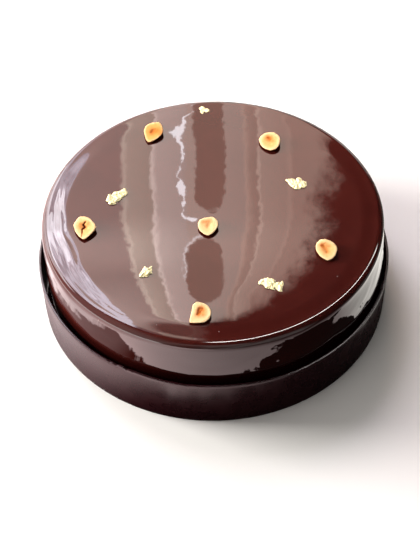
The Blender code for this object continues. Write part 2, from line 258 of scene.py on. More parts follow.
class StageSettings(bpy.types.PropertyGroup):
    """Light levels and colours of the stage."""
    window: light_prop("Window", "the window at the back left", 8.5)
    side_light: light_prop("Side light", "the low light on the left", 64.0)
    wall: light_prop("Wall", "the softly lit wall behind", 1.0)
    overhead: light_prop("Overhead", "the soft light overhead", 0.8)
    rim_strip: light_prop("Rim strip", "the strip that lights the rim", 73.0)
    floor_colour: colour_prop("Floor colour", "Pale floor", (0.90, 0.885, 0.86))
    front_tint: colour_prop("Front tint", "Floor in front, as the gloss mirrors it", (1.0, 0.77, 0.76))
    left_tint: colour_prop("Left tint", "Floor on the left, as the gloss mirrors it", (1.0, 0.85, 0.85))
    right_tint: colour_prop("Right tint", "Floor on the right, as the gloss mirrors it", (1.0, 0.95, 0.88))


SETTINGS = (("entremet_glaze", GlazeSettings), ("entremet_leaf", LeafSettings),
            ("entremet_collar", CollarSettings), ("entremet_nuts", NutSettings),
            ("entremet_stage", StageSettings))
# ================================================================ modelling by hand
def start_clean():
    """Leave edit mode and choose nothing, because the loaded nodes come in chosen."""
    if bpy.context.object is not None and bpy.context.object.mode != "OBJECT":
        bpy.ops.object.mode_set(mode="OBJECT")
    bpy.ops.object.select_all(action="DESELECT")


def edit(mode="VERT"):
    bpy.ops.object.mode_set(mode="EDIT")
    bpy.ops.mesh.select_mode(type=mode)


def choose(piece, kind, wanted):
    """In edit mode, choose the vertices, edges or faces whose place passes the test."""
    bpy.ops.mesh.select_all(action="DESELECT")
    bpy.ops.object.mode_set(mode="OBJECT")
    parts = {"VERT": piece.data.vertices, "EDGE": piece.data.edges, "FACE": piece.data.polygons}[kind]
    for part in parts:
        part.select = wanted(part)
    edit(kind)


def extrude_ring(rise, growth, level):
    """Draw the chosen ring up by the rise and widen it by the growth."""
    bpy.ops.mesh.extrude_edges_move(TRANSFORM_OT_translate={"value": (0.0, 0.0, rise)})
    if abs(growth - 1.0) > TINY:
        bpy.ops.transform.resize(value=(growth, growth, 1.0), center_override=(0.0, 0.0, level))


def draw_up(name, rings, sides):
    """A circle drawn out ring by ring; each ring is a radius and a height."""
    start_clean()
    radius, height = rings[0]
    bpy.ops.mesh.primitive_circle_add(vertices=sides, radius=radius, fill_type="NOTHING",
                                      location=(0.0, 0.0, height))
    piece = bpy.context.object
    piece.name = piece.data.name = name
    edit("EDGE")
    bpy.ops.mesh.select_all(action="SELECT")
    for (radius, height), (next_radius, next_height) in zip(rings, rings[1:]):
        extrude_ring(next_height - height, next_radius / radius, next_height)
    return piece


def settle(piece):
    """Put the piece's place into its mesh, at the origin, unturned and unscaled."""
    start_clean()
    piece.select_set(True)
    bpy.context.view_layer.objects.active = piece
    bpy.ops.object.transform_apply(location=True, rotation=True, scale=True)


def face_outwards(piece, merge=0.0):
    """Merge doubles and point every face outwards."""
    edit("VERT")
    bpy.ops.mesh.select_all(action="SELECT")
    if merge:
        bpy.ops.mesh.remove_doubles(threshold=merge)
    bpy.ops.mesh.normals_make_consistent(inside=False)
    bpy.ops.object.mode_set(mode="OBJECT")


def sculpt(piece, brush):
    """Move every vertex to the place that the brush gives."""
    for vertex in piece.data.vertices:
        vertex.co = brush(vertex.co)
    piece.data.update()


def apply_all(piece):
    """Apply the modifiers from the top down."""
    bpy.context.view_layer.objects.active = piece
    for modifier in list(piece.modifiers):
        bpy.ops.object.modifier_apply(modifier=modifier.name)


def dress(piece, material, slot, *nodes):
    """Give the finished piece its material and its place in the frame."""
    piece.data.materials.clear()
    piece.data.materials.append(material)
    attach(piece, "root")
    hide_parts(*nodes)
    piece.select_set(False)


def between(value, low, high):
    """Smooth step from 0 to 1 between two levels."""
    value = min(max((value - low) / (high - low), 0.0), 1.0)
    return value * value * (3.0 - 2.0 * value)


def uneven(*place):
    """Smooth uneven value from -1 to 1 that changes over about one unit."""
    return noise.noise(Vector(place))


def swell(x, y, z, size, seed):
    """The same over the given size."""
    return uneven(x / size + seed * 7.31, y / size - seed * 3.17, z / size + seed)


def off_angle(angle, degrees):
    """How many degrees a direction is off a given one."""
    return math.degrees(math.remainder(angle - math.radians(degrees), 2 * math.pi))


def bell(angle, degrees, spread):
    """Share from 1 in a given direction down to 0 away from it."""
    return math.exp(-(off_angle(angle, degrees) / spread) ** 2)


# ================================================================ materials
class Value:
    """What a node puts out; sums are written with it as with a plain number."""

    def __init__(self, socket):
        self.socket, self.tree = socket, socket.id_data

    def __add__(self, other):
        return calc("ADD", self, other)

    def __sub__(self, other):
        return calc("SUBTRACT", self, other)

    def __rsub__(self, other):
        return calc("SUBTRACT", other, self)

    def __mul__(self, other):
        return calc("MULTIPLY", self, other)

    def __truediv__(self, other):
        return calc("DIVIDE", self, other)

    def __rtruediv__(self, other):
        return calc("DIVIDE", other, self)

    def __abs__(self):
        return calc("ABSOLUTE", self)


def node(tree, kind, **settings):
    """New node, set down to the left of the ones that are there."""
    made = tree.nodes.new(kind)
    for key, value in settings.items():
        setattr(made, key, value)
    count = len(tree.nodes)
    made.location = (-190 * (count // 3), -260 * (count % 3))
    return made


def plug(value, socket):
    """Link what a node puts out, or set a plain value."""
    if isinstance(value, Value):
        value.tree.links.new(value.socket, socket)
    else:
        socket.default_value = value


def fed(made, **values):
    """The node with values in its named sockets; an underscore stands for a space."""
    for name, value in values.items():
        plug(value, made.inputs[name.replace("_", " ")])
    return made


def outputs(made):
    return {socket.name: Value(socket) for socket in made.outputs}


def calc(operation, *values, clamp=False):
    tree = next(value.tree for value in values if isinstance(value, Value))
    made = node(tree, "ShaderNodeMath", operation=operation, use_clamp=clamp)
    for value, socket in zip(values, made.inputs):
        plug(value, socket)
    return Value(made.outputs[0])


def largest(first, second):
    return calc("MAXIMUM", first, second)


def smallest(first, second):
    return calc("MINIMUM", first, second)


def distance(x, y):
    return calc("SQRT", x * x + y * y)


def mix(share, first, second):
    """Number between two numbers."""
    return share * (second - first) + first


def ease(value, low, high, to_low=0.0, to_high=1.0):
    """Smooth step of a value between two levels."""
    made = fed(node(value.tree, "ShaderNodeMapRange", interpolation_type="SMOOTHSTEP"), Value=value,
               From_Min=low, From_Max=high, To_Min=to_low, To_Max=to_high)
    return Value(made.outputs["Result"])


def fade(value, low, high):
    """Smooth step down from 1 to 0."""
    return ease(value, low, high, 1.0, 0.0)


def blend_colours(share, first, second):
    """Colour between two colours."""
    made = fed(node(share.tree, "ShaderNodeMix", data_type="RGBA"), Factor=share)
    for value, name in ((first, "A"), (second, "B")):
        socket = next(s for s in made.inputs if s.name == name and s.type == "RGBA")
        plug(value if isinstance(value, Value) else (*value, 1.0), socket)
    return Value(next(s for s in made.outputs if s.type == "RGBA"))


def split(place):
    made = node(place.tree, "ShaderNodeSeparateXYZ")
    plug(place, made.inputs[0])
    return [Value(socket) for socket in made.outputs]


def joined(x, y):
    """Place on a flat sheet."""
    return Value(fed(node(x.tree, "ShaderNodeCombineXYZ"), X=x, Y=y).outputs[0])


def texture(place, size, detail=2.0, roughness=0.5):
    """Noise from 0 to 1 with lumps of about the given size."""
    made = fed(node(place.tree, "ShaderNodeTexNoise"), Vector=place, Scale=1.0 / size, Detail=detail,
               Roughness=roughness)
    return Value(made.outputs["Fac"])


def torn(place, size, amount, detail=3.0, roughness=0.6):
    """Ragged unevenness, up to half the amount either way."""
    return (texture(place, size, detail, roughness) - 0.5) * amount


def shared_group(name, fill, given, wanted):
    """Shader node group with named sockets, built once and then shared by the materials."""
    if name not in bpy.data.node_groups:
        group = bpy.data.node_groups.new(name, "ShaderNodeTree")
        for way, sockets in (("INPUT", given), ("OUTPUT", wanted)):
            for socket, kind, *default in sockets:
                made = group.interface.new_socket(name=socket, in_out=way, socket_type="NodeSocket" + kind)
                if default:
                    made.default_value = default[0]
        results = fill(outputs(node(group, "NodeGroupInput")))
        for value, socket in zip(results, node(group, "NodeGroupOutput").inputs):
            plug(value, socket)
    return bpy.data.node_groups[name]


def relief(place, wave, ripple):
    """Height in metres of an uneven surface; its waves and its ripples have a size and a height."""
    def fill(given):
        waves = texture(given["Vector"], given["Wave Size"], 1.0)
        ripples = texture(given["Vector"], given["Ripple Size"], 2.0)
        return [ripples * given["Ripple Height"] + waves * given["Wave Height"]]

    group = shared_group("Surface relief", fill,
                         (("Vector", "Vector"), ("Wave Size", "Float", 0.01), ("Wave Height", "Float", 0.0),
                          ("Ripple Size", "Float", 0.003), ("Ripple Height", "Float", 0.0)),
                         (("Height", "Float"),))
    made = fed(node(place.tree, "ShaderNodeGroup", node_tree=group), Vector=place, Wave_Size=wave[0],
               Wave_Height=wave[1], Ripple_Size=ripple[0], Ripple_Height=ripple[1])
    return Value(made.outputs["Height"])


def cloudy(place, size, colour, other):
    """Colour that changes cloudily between two colours, and its mask."""
    def fill(given):
        mask = ease(texture(given["Vector"], given["Size"], 3.0, 0.55), 0.35, 0.65)
        return [blend_colours(mask, given["Colour"], given["Other Colour"]), mask]

    group = shared_group("Cloudy colour", fill,
                         (("Vector", "Vector"), ("Size", "Float", 0.02), ("Colour", "Color"),
                          ("Other Colour", "Color")),
                         (("Color", "Color"), ("Mask", "Float")))
    made = outputs(fed(node(place.tree, "ShaderNodeGroup", node_tree=group), Vector=place, Size=size,
                       Colour=(*colour, 1.0), Other_Colour=(*other, 1.0)))
    return made["Color"], made["Mask"]


def specks(place, spacing, radius, share):
    """Mask of sparse round specks."""
    def fill(given):
        cells = fed(node(given["Vector"].tree, "ShaderNodeTexVoronoi", feature="F1"),
                    Vector=given["Vector"], Scale=1.0 / given["Spacing"])
        found = outputs(cells)
        spot = calc("LESS_THAN", found["Distance"], given["Radius"] / given["Spacing"])
        pick = node(cells.id_data, "ShaderNodeSeparateColor")
        plug(found["Color"], pick.inputs[0])
        return [spot * calc("LESS_THAN", outputs(pick)["Red"], given["Share"])]

    group = shared_group("Sparse specks", fill,
                         (("Vector", "Vector"), ("Spacing", "Float", 0.02), ("Radius", "Float", 0.0004),
                          ("Share", "Float", 0.5)),
                         (("Mask", "Float"),))
    made = fed(node(place.tree, "ShaderNodeGroup", node_tree=group), Vector=place, Spacing=spacing,
               Radius=radius, Share=share)
    return Value(made.outputs["Mask"])


def new_material(name):
    """Material, its shader's sockets and the place on the piece."""
    material = bpy.data.materials.new(name)
    material.use_nodes = True
    place = outputs(node(material.node_tree, "ShaderNodeTexCoord"))["Object"]
    return material, material.node_tree.nodes["Principled BSDF"].inputs, place


def add_bump(height, shader):
    """Bump from a height in metres."""
    bump = fed(node(height.tree, "ShaderNodeBump"), Strength=1.0, Distance=1.0, Height=height)
    plug(Value(bump.outputs["Normal"]), shader["Normal"])


BUBBLE_COLOUR = (0.42, 0.30, 0.27)
SCUFF_COLOUR = (0.35, 0.24, 0.20)
# painted shade: between these heights the glaze colour turns to the near-black foot shade colour, where the
# collar shades it
FOOT_SHADE = (34.0 * MM, 41.0 * MM, 0.85, 0.0)      # the glaze darkens downwards, between these heights
# cloudy roughness: the levels of the clouds that it runs between, and how rough it is there or how much more
CLOUDS = (0.3, 0.7)
GLAZE_DULL, COLLAR_DULL = ((0.45, 0.75), 0.012), ((0.3, 0.75), 0.08)
LEAF_ROUGHNESS, NUT_ROUGHNESS = (0.38, 0.58), (0.48, 0.66)
# painted shade of the folds: where the clouds turn to the darker gold, and how much of it shows
LEAF_CREASE_SHADE = (0.55, 1.0, 0.0, 0.45)   # where the clouds turn to creases, and how much of their colour shows
TOAST_RAGGED, ROAST_RAGGED, SKIN_RAGGED = 0.5, 0.35, 0.9    # how ragged the nuts' marks are
ROAST_EDGE, SKIN_EDGE = (0.02, 0.25), (0.3, 0.6)
SCORCH_BROWN, SCORCH_BLACK = (0.0, 0.55), (0.45, 0.95)      # from the rim of a scorched mark to its middle


def glaze_material(settings):
    """Wet cocoa mirror glaze: deep, slightly cloudy, with fine ripples, a few pin bubbles and painted shade
    above the collar.
    """
    material, shader, place = new_material("Mirror glaze")
    body, _ = cloudy(place, 35 * MM, settings.colour, settings.deep_colour)
    bubbles = specks(place, spacing=17 * MM, radius=0.32 * MM, share=0.45)
    # painted shade above the collar, darker downwards
    colour = blend_colours(ease(split(place)[2], *FOOT_SHADE), body, settings.foot_shade_colour)
    plug(blend_colours(bubbles * 0.5, colour, BUBBLE_COLOUR), shader["Base Color"])
    clouds, more = GLAZE_DULL
    dull = ease(texture(place, 22 * MM, 3.0), *clouds, settings.roughness, settings.roughness + more)
    plug(bubbles * 0.25 + dull, shader["Roughness"])
    shader["IOR"].default_value = 1.5
    ripples = relief(place, wave=(9 * MM, 0.003 * MM), ripple=(4.2 * MM, 0.0016 * MM))
    add_bump(bubbles * (0.03 * MM) + ripples, shader)
    return material


def leaf_material(settings):
    """Beaten gold: pale and crumpled, with darker gold in cloudy patches as painted shade of its folds."""
    material, shader, place = new_material("Gold leaf")
    _, mask = cloudy(place, 1.6 * MM, settings.colour, settings.crease_shade_colour)
    # painted shade of the folds, in cloudy patches
    crease_shade = ease(mask, *LEAF_CREASE_SHADE)
    plug(blend_colours(crease_shade, settings.colour, settings.crease_shade_colour), shader["Base Color"])
    plug(ease(texture(place, 1.2 * MM), *CLOUDS, *LEAF_ROUGHNESS), shader["Roughness"])
    shader["Metallic"].default_value = 0.15
    shader["Specular IOR Level"].default_value = 0.2
    add_bump(relief(place, wave=(1.2 * MM, 0.12 * MM), ripple=(0.4 * MM, 0.02 * MM)), shader)
    return material


def collar_material(settings):
    """Tempered dark chocolate with a satin face, faint bloom and small scuffs."""
    material, shader, place = new_material("Collar chocolate")
    body, _ = cloudy(place, 18 * MM, settings.colour, settings.bloom_colour)
    scuffs = specks(place, spacing=12 * MM, radius=0.35 * MM, share=0.3)
    plug(blend_colours(scuffs * 0.35, body, SCUFF_COLOUR), shader["Base Color"])
    clouds, more = COLLAR_DULL
    plug(ease(texture(place, 9 * MM, 3.0), *clouds, settings.roughness, settings.roughness + more),
         shader["Roughness"])
    shader["IOR"].default_value = 1.42
    add_bump(relief(place, wave=(12 * MM, 0.04 * MM), ripple=(1.8 * MM, 0.001 * MM)), shader)
    return material


def nut_material(settings):
    """Cut hazelnut: pale flesh, roasted middle, scorched marks and rubbed brown skin below."""
    material, shader, place = new_material("Hazelnut")
    toast, roast, scorch, skin = (
        outputs(node(place.tree, "ShaderNodeAttribute", attribute_name=name))["Fac"]
        for name in ("toast", "roast", "scorch", "skin"))
    grain = texture(place, 1.1 * MM, 3.0, 0.6)
    ragged = grain - 0.5
    toasted = calc("MULTIPLY_ADD", ragged, TOAST_RAGGED, toast, clamp=True)
    roasted = calc("MULTIPLY_ADD", ragged, ROAST_RAGGED, roast, clamp=True) * ease(roast, *ROAST_EDGE)
    colour = blend_colours(toasted, settings.flesh_colour, settings.toast_colour)
    colour = blend_colours(roasted, colour, settings.roast_colour)
    colour = blend_colours(ease(scorch, *SCORCH_BROWN), colour, settings.deep_colour)
    colour = blend_colours(ease(scorch, *SCORCH_BLACK), colour, settings.scorch_colour)
    patchy = ease(ragged * SKIN_RAGGED + skin, *SKIN_EDGE)
    plug(blend_colours(patchy, colour, settings.skin_colour), shader["Base Color"])
    plug(ease(grain, *CLOUDS, *NUT_ROUGHNESS), shader["Roughness"])
    shader["Specular IOR Level"].default_value = 0.02
    add_bump(relief(place, wave=(1.6 * MM, 0.12 * MM), ripple=(0.5 * MM, 0.02 * MM)), shader)
    return material
# ================================================================ mirror glaze
# where the top stays level up to the rim: middle, half width and how far it takes to change, in degrees
FLAT_TOWARDS, FLAT_SHARE = ((-124.0, 2.0, 22.0), (86.0, 46.0, 22.0)), 0.9
# slow waves in the top: size, seed and share of their height
TOP_WAVES = ((34.0 * MM, 1, 1.0), (13.0 * MM, 2, 0.18))
# over these heights the foot turns into the side, and the side into the top
SIDE_START, TOP_START = (5.0 * MM, 13.0 * MM), (57.0 * MM, 61.0 * MM)
# sags in the side: depth, length round the cake, height, slant, seed and where they are; millimetres
SAGS = ((0.26, 24.0, 13.0, 0.0, 3.0, "all round"), (0.10, 9.0, 6.0, 0.0, 8.0, "all round"),
        (0.09, 11.0, 3.2, 0.0, 5.0, "left"), (0.17, 20.0, 4.2, 0.45, 5.0, "right"),
        (0.09, 5.0, 4.5, 0.0, 11.0, "left"))
SAG_TOWARDS = {"left": (-150.0, 30.0), "right": (-45.0, 38.0)}     # middle and spread in degrees
SAG_ROUND = 0.35                # share of the sags that go all round where neither is near
# the side leans in a little towards the top on the right: middle and spread, level in mm, slope
LEAN_TOWARDS, LEAN_LEVELS, LEAN_SLOPE = (-20.0, 20.0), (26.0 * MM, 49.0 * MM), 0.08
# drops that stand out a little on the right: direction, level and height in mm
DROPS = ((-12.8, 53.0, 3.2), (-13.5, 45.5, 3.0))
DROP_RISE, DROP_WIDTH = 0.45 * MM, 2.2      # the width is in degrees
RIM_CALM = 0.6                  # share of the waves and runs that is gone where the rim has turned over


def top_height(radius):
    """Height of the glaze at a distance from the middle of the top."""
    return CAKE_HEIGHT - SHOULDER_FALL * between(radius, TOP_FLAT_RADIUS, RIM_START)


def levelling(radius, angle):
    """How much less the top has fallen where it stays level up to the rim."""
    share = max(1.0 - between(abs(off_angle(angle, middle)), half, half + change)
                for middle, half, change in FLAT_TOWARDS)
    return FLAT_SHARE * share * (CAKE_HEIGHT - top_height(min(radius, RIM_START)))


def even(first, last, count):
    """Values after the first, in even steps up to the last."""
    return [first + (last - first) * step / count for step in range(1, count + 1)]


def glaze_rings():
    """Rings of the glaze from the edge of the base over the rim to the middle of the top."""
    reach = FOOT_REACH - CAKE_RADIUS
    foot_level = FOOT_EDGE + reach
    rim_level = top_height(RIM_START) - RIM_ROUNDING
    rings = [(FOOT_REACH, 0.0), (FOOT_REACH, FOOT_EDGE)]
    for share in even(0.0, 1.0, FOOT_STEPS):
        angle = math.pi * (1.5 - share / 2)
        rings.append((FOOT_REACH + reach * math.cos(angle), foot_level + reach * math.sin(angle)))
    for share in even(0.0, 1.0, SIDE_STEPS):
        rings.append((CAKE_RADIUS + SIDE_SWELL * math.sin(math.pi * share),
                      foot_level + (rim_level - foot_level) * share))
    for share in even(0.0, 1.0, RIM_STEPS):
        angle = math.pi / 2 * share
        rings.append((RIM_START + RIM_ROUNDING * math.cos(angle),
                      rim_level + RIM_ROUNDING * math.sin(angle)))
    start = RIM_START
    for end, steps in TOP_RINGS:
        rings += [(radius, top_height(radius)) for radius in even(start, end, steps)]
        start = end
    return rings


# where the runs of glaze along the left shoulder begin: direction in degrees, distance in mm
RUN_START = ((146.0, 97.0), (158.0, 94.0), (172.0, 88.0), (185.0, 83.0), (199.0, 80.5), (212.0, 83.5),
             (223.0, 86.5), (232.0, 90.0), (244.0, 94.5), (256.0, 97.0))
RUN_END = 97.0 * MM
RUNS = 2.6                      # how many runs lie side by side
RUN_WIDTH, RUN_LEAST = 16.0 * MM, 0.5 * MM      # over this width they are full, and under this there are none
RUN_FALL, RUN_FALLEN = 2.4, (0.0, 1.05)     # the shoulder falls away: how far, and over which share
RUN_RISE, RUN_WEAKEN = (0.0, 1 / 3), (0.8, 1.1)     # over which shares they rise, and weaken by half
RUN_SECOND = 0.3                # share of a second wave, which makes each run steeper on one side
RUN_DRIFT, RUN_SWERVE = (0.30, 30.0 * MM), (0.10, 16.0 * MM)    # how far they stray, and over what size
RUN_HEIGHTS = (0.7, 0.6, 24.0 * MM)     # least height, how much more, and over what size it changes
RUN_FINE = (0.18, 34.0 * MM, 1.5 * MM)  # fine lines along them: height, length and width


def run_start(degrees):
    """Distance from the middle at which the runs begin, in one direction."""
    for (before, near), (after, far) in zip(RUN_START, RUN_START[1:]):
        if before <= degrees <= after:
            return (near + (far - near) * between(degrees, before, after)) * MM
    return RUN_END


def shoulder_runs(radius, angle, x, y, height):
    """Nested runs of glaze that draw together towards the front, on a shoulder that falls away."""
    start = run_start(math.degrees(angle) % 360.0)
    width = RUN_END - start
    if width < RUN_LEAST or radius < start:
        return 0.0
    share = (radius - start) / width
    along = angle * CAKE_RADIUS
    drift = RUN_DRIFT[0] * swell(x, y, 0.0, RUN_DRIFT[1], 3)
    drift += RUN_SWERVE[0] * uneven(along / RUN_SWERVE[1], share, 9.0)
    turn = 2 * math.pi * (RUNS * share + drift)
    least, more, size = RUN_HEIGHTS
    run = (math.sin(turn) + RUN_SECOND * math.sin(2 * turn)) * (least + more * swell(x, y, 0.0, size, 5))
    depth, length, across = RUN_FINE
    fine = depth * uneven(along / length, radius / across, 6.0)
    inside = between(share, *RUN_RISE) * (1.0 - between(share, *RUN_WEAKEN) / 2)
    return height * width / RUN_WIDTH * ((run + fine) * inside - RUN_FALL * between(share, *RUN_FALLEN))


def glaze_brush(settings):
    """Slow waves in the top, runs along the left shoulder and sags in the side."""
    def brush(place):
        x, y, z = place
        radius, angle = math.hypot(x, y), math.atan2(y, x)
        if radius < TINY or z < SIDE_START[0]:
            return place
        on_top = between(z, *TOP_START)
        lift = settings.wave * sum(share * swell(x, y, z, size, seed) for size, seed, share in TOP_WAVES)
        lift += shoulder_runs(radius, angle, x, y, settings.ripple) + levelling(radius, angle)
        # the side hangs in soft sags, rough at the front left and at the front right
        where = {side: bell(angle, *reach) for side, reach in SAG_TOWARDS.items()}
        where["all round"] = SAG_ROUND + (1.0 - SAG_ROUND) * max(where.values())
        along, level = angle * CAKE_RADIUS / MM, z / MM
        sag = sum(depth * MM * where[side] * uneven(along / length, (level - slant * along) / tall, seed)
                  for depth, length, tall, slant, seed, side in SAGS)
        sag -= LEAN_SLOPE * bell(angle, *LEAN_TOWARDS) * (max(z, LEAN_LEVELS[0]) - LEAN_LEVELS[1])
        for turn, drop_level, tall in DROPS:
            gap = math.hypot(off_angle(angle, turn) / DROP_WIDTH, (level - drop_level) / tall)
            sag += DROP_RISE * math.exp(-gap ** 2)
        growth = 1.0 + sag * (1.0 - on_top) * between(z, *SIDE_START) / radius
        lift *= on_top * (1.0 - RIM_CALM * between(radius, RIM_START, CAKE_RADIUS))
        return Vector((x * growth, y * growth, z + lift))

    return brush


class ENTREMET_OT_glaze(bpy.types.Operator):
    """Model the mirror glaze over the whole cake"""
    bl_idname = "entremet.glaze"
    bl_label = "Mirror glaze"
    bl_options = {"REGISTER", "UNDO"}

    def execute(self, context):
        settings = context.scene.entremet_glaze
        glaze = draw_up("glaze", glaze_rings(), settings.sides)
        # close the middle of the top on one point
        bpy.ops.mesh.extrude_edges_move(TRANSFORM_OT_translate={"value": (0.0, 0.0, 0.0)})
        bpy.ops.mesh.merge(type="CENTER")
        # close the base
        bpy.ops.object.mode_set(mode="OBJECT")
        settle(glaze)
        edit("EDGE")
        base = {v.index for v in glaze.data.vertices if v.co.z < TINY}
        choose(glaze, "EDGE", lambda part: all(v in base for v in part.vertices))
        bpy.ops.mesh.edge_face_add()
        bpy.ops.mesh.poke()
        face_outwards(glaze)
        sculpt(glaze, glaze_brush(settings))
        bpy.ops.object.shade_smooth_by_angle(angle=SMOOTH_ANGLE)
        dress(glaze, glaze_material(settings), "mirror_glaze", "glazed_cake")
        return {"FINISHED"}


# ================================================================ gold leaf
def inside_outline(x, y, outline):
    """True if the point is inside a closed outline."""
    inside = False
    for (x0, y0), (x1, y1) in zip(outline, outline[1:] + outline[:1]):
        if (y0 > y) != (y1 > y) and x < (x1 - x0) * (y - y0) / (y1 - y0) + x0:
            inside = not inside
    return inside


def edge_gap(x, y, outline):
    """Distance from a point to the nearest side of a closed outline."""
    return min(segment_gap(x, y, a, b) for a, b in zip(outline, outline[1:] + outline[:1]))


def segment_gap(x, y, start, end):
    """Distance from a point to a straight line between two points."""
    run = (end[0] - start[0], end[1] - start[1])
    length = run[0] ** 2 + run[1] ** 2
    share = ((x - start[0]) * run[0] + (y - start[1]) * run[1]) / max(length, TINY)
    share = min(max(share, 0.0), 1.0)
    return math.hypot(x - start[0] - share * run[0], y - start[1] - share * run[1])


def make_flake(middle, rise, outline, number):
    """One torn flake: a fine net cut to its outline and crumpled."""
    xs, ys = [x for x, _ in outline], [y for _, y in outline]
    width, depth = max(xs) - min(xs), max(ys) - min(ys)
    centre = ((max(xs) + min(xs)) / 2, (max(ys) + min(ys)) / 2)
    radius = math.hypot(*middle) * MM
    level = top_height(radius) + levelling(radius, math.atan2(middle[1], middle[0]))
    place = ((middle[0] + centre[0]) * MM, (middle[1] + centre[1]) * MM, level)
    start_clean()
    bpy.ops.mesh.primitive_grid_add(x_subdivisions=round(width * MM / LEAF_GRAIN),
                                    y_subdivisions=round(depth * MM / LEAF_GRAIN),
                                    size=1.0, location=place)
    flake = bpy.context.object
    edit("FACE")
    bpy.ops.mesh.select_all(action="SELECT")
    bpy.ops.transform.resize(value=(width * MM, depth * MM, 1.0), center_override=place)
    bpy.ops.object.mode_set(mode="OBJECT")
    settle(flake)

    def on_scrap(x, y):
        return x / MM - middle[0], y / MM - middle[1]

    def torn_away(face):
        x, y = on_scrap(face.center[0], face.center[1])
        tear = LEAF_TEAR[0] * swell(x, y, 0.0, LEAF_TEAR[1], number)
        return not inside_outline(x + tear, y - tear, outline)

    edit("FACE")
    choose(flake, "FACE", torn_away)
    bpy.ops.mesh.delete(type="FACE")
    bpy.ops.object.mode_set(mode="OBJECT")

    def crumple(point):
        x, y = on_scrap(point[0], point[1])
        folds = sum(share * (1.0 - LEAF_SHARPNESS * abs(swell(x, y, 0.0, size, number + seed)))
                    for size, seed, share in LEAF_FOLDS)
        at_edge, full = LEAF_RIM
        inner = between(edge_gap(x, y, outline), 0.0, full)
        height = (at_edge + (1.0 - at_edge) * inner) * folds
        return Vector((point[0], point[1], level + LEAF_CLEAR + rise * MM * max(height, 0.0)))

    sculpt(flake, crumple)
    return flake


class ENTREMET_OT_gold_leaf(bpy.types.Operator):
    """Model the five torn scraps of gold leaf"""
    bl_idname = "entremet.gold_leaf"
    bl_label = "Gold leaf"
    bl_options = {"REGISTER", "UNDO"}

    def execute(self, context):
        settings = context.scene.entremet_leaf
        material = leaf_material(settings)
        number = 0
        for name, middle, flakes in LEAF_SCRAPS:
            made = []
            for rise, outline in flakes:
                number += 1
                made.append(make_flake(middle, rise, outline, number))
            start_clean()
            for flake in made:
                flake.select_set(True)
            bpy.context.view_layer.objects.active = made[0]
            if len(made) > 1:
                bpy.ops.object.join()
            scrap = bpy.context.object
            scrap.name = scrap.data.name = name
            foil = scrap.modifiers.new("Foil", "SOLIDIFY")
            foil.thickness = settings.thickness
            foil.offset = 1.0
            apply_all(scrap)
            bpy.ops.object.shade_smooth_by_angle(angle=math.radians(50))
            dress(scrap, material, None, "glazed_cake")
        return {"FINISHED"}


# ================================================================ chocolate collar
def collar_edge(angle):
    """Height of the collar's hand-cut top edge in one direction."""
    lean = COLLAR_LEAN[0] * math.cos(angle - math.radians(COLLAR_LEAN[1]))
    hump = COLLAR_HUMP[0] * bell(angle, *COLLAR_HUMP[1:])
    waves = sum(size * math.sin(count * angle + start) for count, size, start in COLLAR_WAVES)
    nicks = sum(depth * bell(angle, turn, width) for turn, width, depth in COLLAR_NICKS)
    return COLLAR_HEIGHT + lean + hump + waves - nicks


def collar_rings(thickness):
    """Rings up the outside of the band, over its edge, down the inside and back to the start."""
    outer, inner, top = COLLAR_RADIUS, COLLAR_RADIUS - thickness, COLLAR_HEIGHT
    soft, turn = COLLAR_EDGE, COLLAR_EDGE * 0.3     # an edge turns over in two steps
    rings = [(outer - soft, 0.0), (outer - turn, turn), (outer, soft)]
    rings += [(outer, level) for level in even(soft, top - soft, 18)]
    rings += [(outer - turn, top - turn), (outer - soft, top)]
    rings += [(inner + soft, top), (inner + turn, top - turn), (inner, top - soft)]
    rings += [(inner, level) for level in even(top - soft, soft, 8)]
    rings += [(inner + turn, turn), (inner + soft, 0.0), (outer - soft, 0.0)]
    return rings
class ENTREMET_OT_collar(bpy.types.Operator):
    """Model the thin chocolate band round the foot of the cake"""
    bl_idname = "entremet.collar"
    bl_label = "Chocolate collar"
    bl_options = {"REGISTER", "UNDO"}

    def execute(self, context):
        settings = context.scene.entremet_collar
        collar = draw_up("collar", collar_rings(settings.thickness), settings.sides)
        bpy.ops.object.mode_set(mode="OBJECT")
        settle(collar)
        face_outwards(collar, merge=0.01 * MM)

        def brush(place):
            x, y, z = place
            angle = math.atan2(y, x)
            share = z / COLLAR_HEIGHT
            # the band was bent by hand, so its wall isn't quite true
            bend = COLLAR_BEND[0] * swell(x, y, z, COLLAR_BEND[1], 5) * share
            growth = 1.0 - abs(bend) / COLLAR_RADIUS
            return Vector((x * growth, y * growth, share * collar_edge(angle)))

        sculpt(collar, brush)
        bpy.ops.object.shade_smooth_by_angle(angle=math.radians(50))
        dress(collar, collar_material(settings), "collar_chocolate", "chocolate_collar")
        return {"FINISHED"}


# ================================================================ hazelnuts
def face_reach(reaches, angle):
    """Distance from the middle of a nut to the rim of its cut face, cornered at its reaches."""
    step = 2 * math.pi / len(reaches)
    start = math.floor(angle / step)
    share = angle / step - start
    before, first, second, after = (reaches[(start + way) % len(reaches)] for way in (-1, 0, 1, 2))
    bend = share * (second - before + share * (2 * before - 5 * first + 4 * second - after
                    + share * (3 * (first - second) + after - before)))
    chord = first * second * math.sin(step) / (first * math.sin(share * step)
                                               + second * math.sin((1.0 - share) * step))
    return (0.4 * (first + bend / 2) + 0.6 * chord) * MM


def marked(x, y, marks):
    """Strength of the painted marks at a place on a cut face, in millimetres."""
    return max((strength * math.exp(-(segment_gap(x, y, start, end) / width) ** 2)
                for start, end, width, strength in marks), default=0.0)


def spread_out(x, y, reaches):
    """Place on the finished nut of a point on the round one, which has a radius of one."""
    angle = math.atan2(y, x)
    wide = face_reach(reaches, angle) * math.hypot(x, y)
    return wide * math.cos(angle), wide * math.sin(angle)


